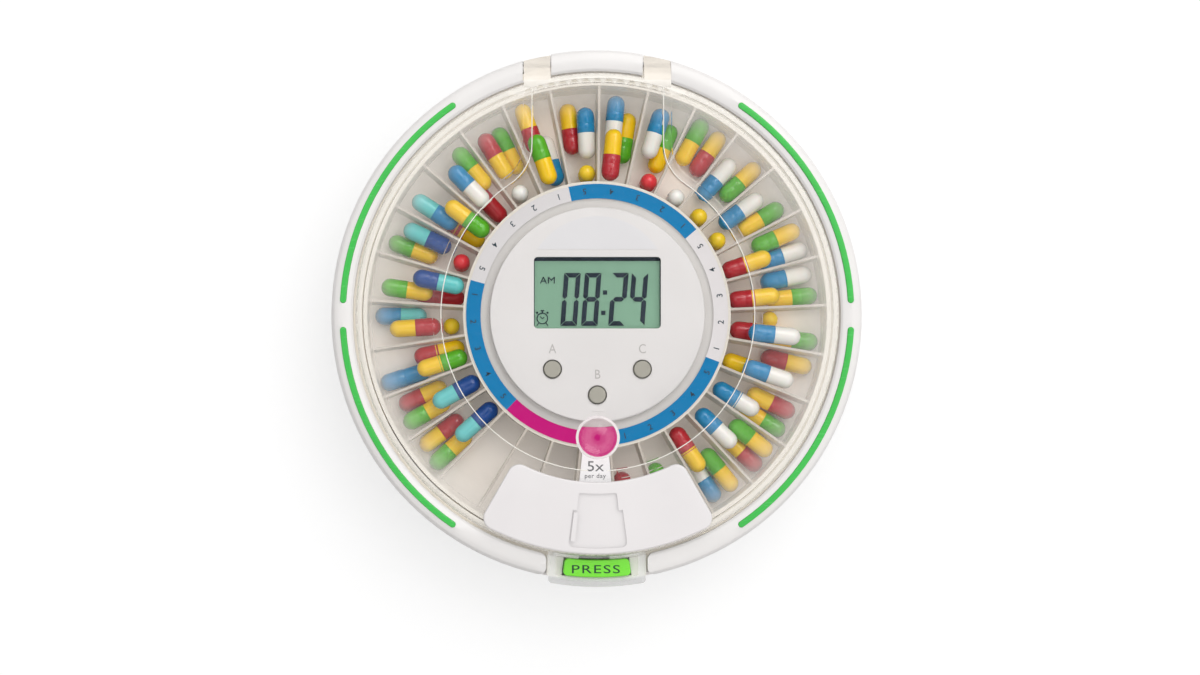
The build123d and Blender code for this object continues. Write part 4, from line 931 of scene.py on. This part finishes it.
# %% The dash
DASH_LONG, DASH_WIDE, DASH_HIGH = 4.6, 0.8, 0.3
DASH_ROUND = 0.12
DASH_X, DASH_Y = 0.2, -39.6
DASH_LIFT = 0.02
dash = bmesh.new()
made = bmesh.ops.create_cube(dash, size=1.0)
bmesh.ops.scale(dash, verts=made["verts"], vec=(DASH_LONG * MM, DASH_WIDE * MM, DASH_HIGH * MM))
bmesh.ops.bevel(
    dash,
    geom=dash.edges[:],
    offset=DASH_ROUND * MM,
    affect="EDGES",
    segments=3,
    profile=0.5,
    material=-1,
)
dash_at = (DASH_X * MM, DASH_Y * MM, (HUB_TOP + DASH_LIFT) * MM)
bmesh.ops.translate(dash, verts=dash.verts, vec=dash_at)
dash_mesh = finished(dash, "hub_dash", hub_white)
shade(dash_mesh)
hub_dash = link(bpy.data.objects.new("hub_dash", dash_mesh))
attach(hub_dash, "base")
print("dash faces", len(dash_mesh.polygons))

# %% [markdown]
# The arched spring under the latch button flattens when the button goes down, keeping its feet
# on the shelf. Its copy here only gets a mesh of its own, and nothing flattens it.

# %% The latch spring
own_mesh(shown["latch_spring"])

# %% [markdown]
# Behind the latch button is the slot that the lid's catch goes into. On either side of the
# catch a pale sill closes it from above, so only the catch and a bit of the bolt show dark. Each
# half of the sill is a small rectangle turned about the hub's axis.

# %% The sill beside the catch
SILL_IN, SILL_OUT = 99.95, 101.2
SILL_LOW, SILL_HIGH = 40.9, 41.3
SILL_SPANS = [(259.75, 265.8), (273.1, 280.25)]
SILL_SECTION = [
    (SILL_IN, SILL_LOW),
    (SILL_OUT, SILL_LOW),
    (SILL_OUT, SILL_HIGH),
    (SILL_IN, SILL_HIGH),
]
sill = bmesh.new()
for first, last in SILL_SPANS:
    work = bmesh.new()
    corners = [work.verts.new((radius * MM, 0, z * MM)) for radius, z in SILL_SECTION]
    section = work.faces.new(corners)
    bmesh.ops.transform(work, matrix=Matrix.Rotation(radians(first), 4, "Z"), verts=work.verts)
    bmesh.ops.spin(
        work,
        geom=[section] + section.edges[:] + section.verts[:],
        cent=(0, 0, 0),
        axis=(0, 0, 1),
        angle=radians(last - first),
        steps=8,
    )
    bmesh.ops.recalc_face_normals(work, faces=work.faces)
    half = finished(work, "sill_half")
    sill.from_mesh(half)
    bpy.data.meshes.remove(half)
sill_mesh = finished(sill, "latch_sill", latch_white)
latch_sill = link(bpy.data.objects.new("latch_sill", sill_mesh))
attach(latch_sill, "base")
print("sill faces", len(sill_mesh.polygons))

# %% [markdown]
# Towards its edge the lid grows milky. A film under its top sheet, clear inside and paler
# outwards, gives that. Its white is partly the lid's own milkiness and partly painted light,
# which brightens the outer cells seen through it.

# %% The milky film under the lid
FILM_IN, FILM_OUT = 80.0, 96.4
FILM_Z = 48.2
FILM_MOST = 0.3
# Partly painted light: the film's white also brightens the outer cells seen through it.
haze_and_painted_light_film = plastic("haze_and_painted_light_film", "fbf6ee", gloss=0.6, cloud=0.0, grain=0.02)
film_tree = haze_and_painted_light_film.node_tree
film_radius = flat_radius(film_tree, film_tree.nodes.new("ShaderNodeTexCoord"))
film_span = (FILM_IN * MM, FILM_OUT * MM)
film_fade = spread(
    film_tree, film_radius, "Value", film_span, (0.0, FILM_MOST), interpolation_type="SMOOTHSTEP"
)
join(film_tree, film_fade, "Result", film_tree.nodes["Principled BSDF"], "Alpha")
lets_light_pass(haze_and_painted_light_film, "ffffff", bounced=True)
film = bmesh.new()
flat_ring(film, 0, 0, FILM_OUT, FILM_IN, 96)
flat_piece("lid_film", film, FILM_Z, haze_and_painted_light_film, "lid", SLOT_OF["lid"])
print("film from", FILM_IN, "to", FILM_OUT, "mm")

# %% [markdown]
# The latch button carries its one word in dark green print.

# %% The word on the latch button
press_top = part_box("latch_button")[1].z / MM
press_at = (-0.6, -105.2, press_top + PRINT_LIFT)
press_ink = plastic("press_ink", "123f2a", gloss=0.45, grain=0.0)
press_word = [lettering("press_word", "PRESS", 3.5, press_at, wide=1.5, space=1.14, bold=0.01)]
merged("press_word", press_word, press_ink, "latch_button")
print("latch button's top at", round(press_top, 2), "mm")

# %% [markdown]
# The pills are glossy capsules in two colours and small round tablets. A real capsule is two
# thin cups, one pushed over the other: the outer cup, its cap, is a little wider and has a rolled
# groove that locks it. All three shapes are profiles spun about an axis, as on a lathe.

# %% Capsule halves and tablets
CAP_R = 3.75
BODY_R = 3.62
HALF_L = 10.85
BALL_R = 3.5
STEPS_ROUND = 24
STEPS_ALONG = 12
CHAMFER = 0.12
JOINT_GAP = 0.02
BODY_SHORT = 0.05
GROOVE = [(CAP_R, 3.4), (CAP_R - CHAMFER, 3.8), (CAP_R, 4.2)]


def turned(profile):
    """A closed shape turned about Z from (radius, height) points, from axis to axis."""
    work = bmesh.new()
    points = [work.verts.new((radius * MM, 0, height * MM)) for radius, height in profile]
    edges = [work.edges.new(pair) for pair in zip(points, points[1:])]
    bmesh.ops.spin(
        work,
        geom=points + edges,
        cent=(0, 0, 0),
        axis=(0, 0, 1),
        angle=2 * pi,
        steps=STEPS_ROUND,
        use_merge=True,
    )
    bmesh.ops.remove_doubles(work, verts=work.verts, dist=1e-7)
    bmesh.ops.recalc_face_normals(work, faces=work.faces)
    return finished(work, "turned")


def dome(radius, length, steps=6):
    """The rounded end of a capsule half, down to its straight wall."""
    return [
        (radius * cos(pi / 2 * n / steps), length - radius + radius * sin(pi / 2 * n / steps))
        for n in range(steps + 1)
    ]


cap_end = [(0, JOINT_GAP), (CAP_R - CHAMFER, JOINT_GAP), (CAP_R, JOINT_GAP + CHAMFER)]
cap_half = turned(cap_end + GROOVE + dome(CAP_R, HALF_L))
body_half = turned([(0, 0.0), (BODY_R, 0.0)] + dome(BODY_R, HALF_L - BODY_SHORT))
arc = [pi * n / STEPS_ALONG for n in range(STEPS_ALONG + 1)]
ball = turned([(BALL_R * sin(a), -BALL_R * cos(a)) for a in arc])
ball.polygons.foreach_set("material_index", [1] * len(ball.polygons))
print("faces of cap, body and tablet:", *(len(m.polygons) for m in (cap_half, body_half, ball)))

# %% [markdown]
# Each CAD half is found as one closed island of its node's mesh. Its flat end gives where the
# joint is and which way the half points, and the finer half is put there. An island with no
# flat end is a tablet, or a capsule with two halves of one colour.

# %% Where the pills are
FLAT_SHARE = 0.8
BALL_REACH = 1.2


def islands(mesh):
    """The closed solids of a CAD node's mesh, each as a list of faces of a merged bmesh."""
    work = bmesh.new()
    work.from_mesh(mesh)
    bmesh.ops.remove_doubles(work, verts=work.verts, dist=1e-6)
    work.faces.ensure_lookup_table()
    left = dict.fromkeys(work.faces)
    found = []
    while left:
        group = [left.popitem()[0]]
        for face in group:
            for edge in face.edges:
                for other in edge.link_faces:
                    if other in left:
                        del left[other]
                        group.append(other)
        found.append(group)
    return work, found


def flat_end(group):
    """Centre and outward direction of an island's flat end, or None where it has none."""
    areas = {}
    for face in group:
        key = tuple(round(c, 2) for c in face.normal)
        areas.setdefault(key, []).append(face)
    best = max(areas.values(), key=lambda faces: sum(f.calc_area() for f in faces))
    area = sum(f.calc_area() for f in best)
    if area < FLAT_SHARE * pi * (CAP_R * MM) ** 2:
        return None
    centre = sum((f.calc_center_median() * f.calc_area() for f in best), Vector()) / area
    return centre, best[0].normal.copy()


def middle_and_reach(group):
    """Middle of an island, and the way from there to its farthest corner."""
    corners = dict.fromkeys(v for f in group for v in f.verts)
    low = Vector([min(v.co[i] for v in corners) for i in range(3)])
    high = Vector([max(v.co[i] for v in corners) for i in range(3)])
    centre = (low + high) / 2
    return centre, max((v.co - centre for v in corners), key=lambda way: way.length)


print("pill nodes", sum(node.startswith("pills_") for node in nodes))

# %% [markdown]
# One piece stands for all pills of a colour. Gelatine and sugar coating shine, and a little of
# their colour comes from below the surface.

# %% Pills in their colours
PILL_COLOURS = {
    "blue": ("1488bc", True),
    "cyan": ("66ccca", False),
    "darkred": ("be1c28", True),
    "green": ("58b41c", True),
    "navy": ("004490", True),
    "red": ("bc2430", True),
    "white": ("f2eee6", False),
    "yellow": ("fccc00", False),
}
# Painted light: tablets are made brighter than the capsules, to offset the shade of their cells.
TABLET_COLOURS_PAINTED_LIGHT = {"red": "e8343e", "white": "fffdf6", "yellow": "ffd824"}
GELATINE = {"Subsurface_Weight": 0.12, "Subsurface_Scale": 0.0015, "Coat_Weight": 0.35}


def gelatine(name, colour):
    """The shining surface of capsules and sugar-coated tablets."""
    return plastic(name, colour, gloss=0.22, cloud=0.05, grain=0.03, size=900, **GELATINE)


for colour, (shade_hex, is_cap) in PILL_COLOURS.items():
    node = f"pills_{colour}"
    work, found = islands(nodes[node].data)
    pill_work = bmesh.new()
    for group in found:
        end = flat_end(group)
        if end is None:
            centre, reach = middle_and_reach(group)
            if reach.length < BALL_REACH * BALL_R * MM:
                parts = [(ball, Vector((0, 0, 1)))]
            else:
                parts = [(cap_half, reach), (body_half, -reach)]
        else:
            centre, out = end
            parts = [(cap_half if is_cap else body_half, -out)]
        for source, way in parts:
            mesh = source.copy()
            turn = way.to_track_quat("Z", "Y").to_matrix().to_4x4()
            mesh.transform(Matrix.Translation(centre) @ turn)
            pill_work.from_mesh(mesh)
            bpy.data.meshes.remove(mesh)
    work.free()
    pill_mesh = finished(pill_work, node + "_shown", gelatine(f"gelatine_{colour}", shade_hex))
    if any(face.material_index for face in pill_mesh.polygons):
        pill_mesh.materials.append(gelatine(f"tablet_{colour}", TABLET_COLOURS_PAINTED_LIGHT[colour]))
    shade(pill_mesh, 50)
    pills = link(bpy.data.objects.new(node + "_shown", pill_mesh))
    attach(pills, "tray")
    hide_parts(node)
    print(node, len(found), "solids")

# %% [markdown]
# The stage is a plain white floor. The photograph's background is white above and a very pale
# grey below, and the lamps alone can't make it so without too much light on the object, so the
# floor shines a little white of its own to the camera, and keeps a faint shadow near the box.

# %% The floor
FLOOR_SHADED = 0.42
FLOOR_WHITE = 0.6
FLOOR_BOUNCE = 0.82
FLOOR_HALF = 3.0


def grey(value):
    """A neutral colour of that linear brightness."""
    return (value, value, value, 1)


floor_work = bmesh.new()
bmesh.ops.create_grid(floor_work, x_segments=1, y_segments=1, size=FLOOR_HALF)
floor_mesh = finished(floor_work, "floor")
floor = link(bpy.data.objects.new("floor", floor_mesh))
floor_material = bpy.data.materials.new("floor_white")
floor_material.use_nodes = True
floor_tree = floor_material.node_tree
floor_shader = floor_tree.nodes["Principled BSDF"]
floor_shader.inputs["Roughness"].default_value = 0.9
floor_shader.inputs["Specular IOR Level"].default_value = 0.1
seen = floor_tree.nodes.new("ShaderNodeLightPath")
floor_colour = add_node(floor_tree, "ShaderNodeMix", data_type="RGBA")
floor_colour.inputs[6].default_value = grey(FLOOR_BOUNCE)
floor_colour.inputs[7].default_value = grey(FLOOR_SHADED)
join(floor_tree, seen, "Is Camera Ray", floor_colour, 0)
join(floor_tree, floor_colour, 2, floor_shader, "Base Color")
floor_shader.inputs["Emission Color"].default_value = grey(1)
floor_glow = maths(floor_tree, "MULTIPLY", (seen, "Is Camera Ray"), FLOOR_WHITE)
join(floor_tree, floor_glow, 0, floor_shader, "Emission Strength")
floor_mesh.materials.append(floor_material)
print("floor", 2 * FLOOR_HALF, "m across")

# %% [markdown]
# One large softbox stands behind the box at the right, so shadows are soft and fall to the
# front left.

# %% The lamp


def lamp(name, where, size, power, aim=(0, 0, 0.04)):
    """A square softbox that faces a point."""
    light = bpy.data.lights.new(name, "AREA")
    light.size = size
    light.energy = power
    thing = link(bpy.data.objects.new(name, light))
    thing.location = where
    thing.rotation_euler = (Vector(aim) - Vector(where)).to_track_quat("-Z", "Y").to_euler()
    return thing


key = lamp("key_softbox", (0.62, 1.1, 1.5), size=1.3, power=9)
print(key.name, "at", [round(c, 2) for c in key.location])

# %% [markdown]
# The room is a white tent: brightest above, from where light reaches the floors of the deep
# cells, weaker near the ground, and brighter at the rear right. Glossy surfaces see it dark
# right above, where the camera is. The dark spot keeps the lid and the printed ring free of a
# white veil, since that is what they mirror towards the camera. Seen directly, the room is
# plain white.

# %% The room's light
GROUND, TOP = 0.3, 1.3
BETWEEN = [(0.45, 0.35), (0.64, 0.85), (0.82, 1.2)]
SPOT_SPAN = (0.955, 0.985)
SPOT_LEFT = 0.03
REAR_RIGHT = 0.35
world = bpy.data.worlds.new("studio")
bpy.context.scene.world = world
world.use_nodes = True
world_tree = world.node_tree
background = world_tree.nodes["Background"]
direction = world_tree.nodes.new("ShaderNodeTexCoord")
split = world_tree.nodes.new("ShaderNodeSeparateXYZ")
join(world_tree, direction, "Generated", split, "Vector")
rings = world_tree.nodes.new("ShaderNodeValToRGB")
join(world_tree, split, "Z", rings, "Fac")
levels = rings.color_ramp.elements
levels[0].position, levels[0].color = 0.0, grey(GROUND)
levels[1].position, levels[1].color = 1.0, grey(TOP)
for height, bright in BETWEEN:
    levels.new(height).color = grey(bright)
join(world_tree, rings, "Color", background, "Color")
dark_spot = spread(world_tree, split, "Z", SPOT_SPAN, (1.0, SPOT_LEFT))
rays = world_tree.nodes.new("ShaderNodeLightPath")
mirrored = add_node(world_tree, "ShaderNodeMix", data_type="FLOAT")
join(world_tree, rays, "Is Glossy Ray", mirrored, 0)
mirrored.inputs[2].default_value = 1.0
join(world_tree, dark_spot, "Result", mirrored, 3)
side = maths(world_tree, "ADD", (split, "X"), (split, "Y"))
side_amount = maths(world_tree, "MULTIPLY_ADD", (side, 0), REAR_RIGHT, 1.0)
strength = maths(world_tree, "MULTIPLY", (side_amount, 0), (mirrored, 0))
join(world_tree, strength, 0, background, "Strength")
white_room = add_node(world_tree, "ShaderNodeBackground", Color=grey(1))
room = world_tree.nodes.new("ShaderNodeMixShader")
join(world_tree, rays, "Is Camera Ray", room, 0)
join(world_tree, background, 0, room, 1)
join(world_tree, white_room, 0, room, 2)
join(world_tree, room, 0, world_tree.nodes["World Output"], "Surface")
print("world", world.name, len(world_tree.nodes), "nodes")

# %% [markdown]
# The camera looks straight down, a little to the left and in front of the hub, which is where
# the walls of the tray and of the window are seen from. Its picture is shifted sideways instead
# of the camera being turned, so the round rim stays round. Its lens gives the photograph's
# scale: 2.42 pixels for each millimetre at the rim, in a frame 1200 pixels wide.

# %% Camera
FRAME_W = 1200
SENSOR = 36.0
CAMERA_AT = Vector((-0.046, -0.055, 0.946))
AIM_AT = Vector((0.00124, -0.0093, 0.046))
PIXELS_PER_MM = 2.4205

camera_data = bpy.data.cameras.new("photo_camera")
camera = link(bpy.data.objects.new("photo_camera", camera_data))
camera.location = CAMERA_AT
distance = CAMERA_AT.z - AIM_AT.z
sideways = (AIM_AT - CAMERA_AT) / MM * PIXELS_PER_MM / FRAME_W
camera_data.shift_x = sideways.x
camera_data.shift_y = sideways.y
camera_data.sensor_width = SENSOR
camera_data.lens = PIXELS_PER_MM * (distance / MM) / FRAME_W * SENSOR
camera_data.clip_start = 0.05
camera_data.clip_end = 20
bpy.context.scene.camera = camera
bpy.context.scene.view_settings.view_transform = "Standard"
print("lens", round(camera_data.lens, 2), "mm at", round(distance, 3), "m")
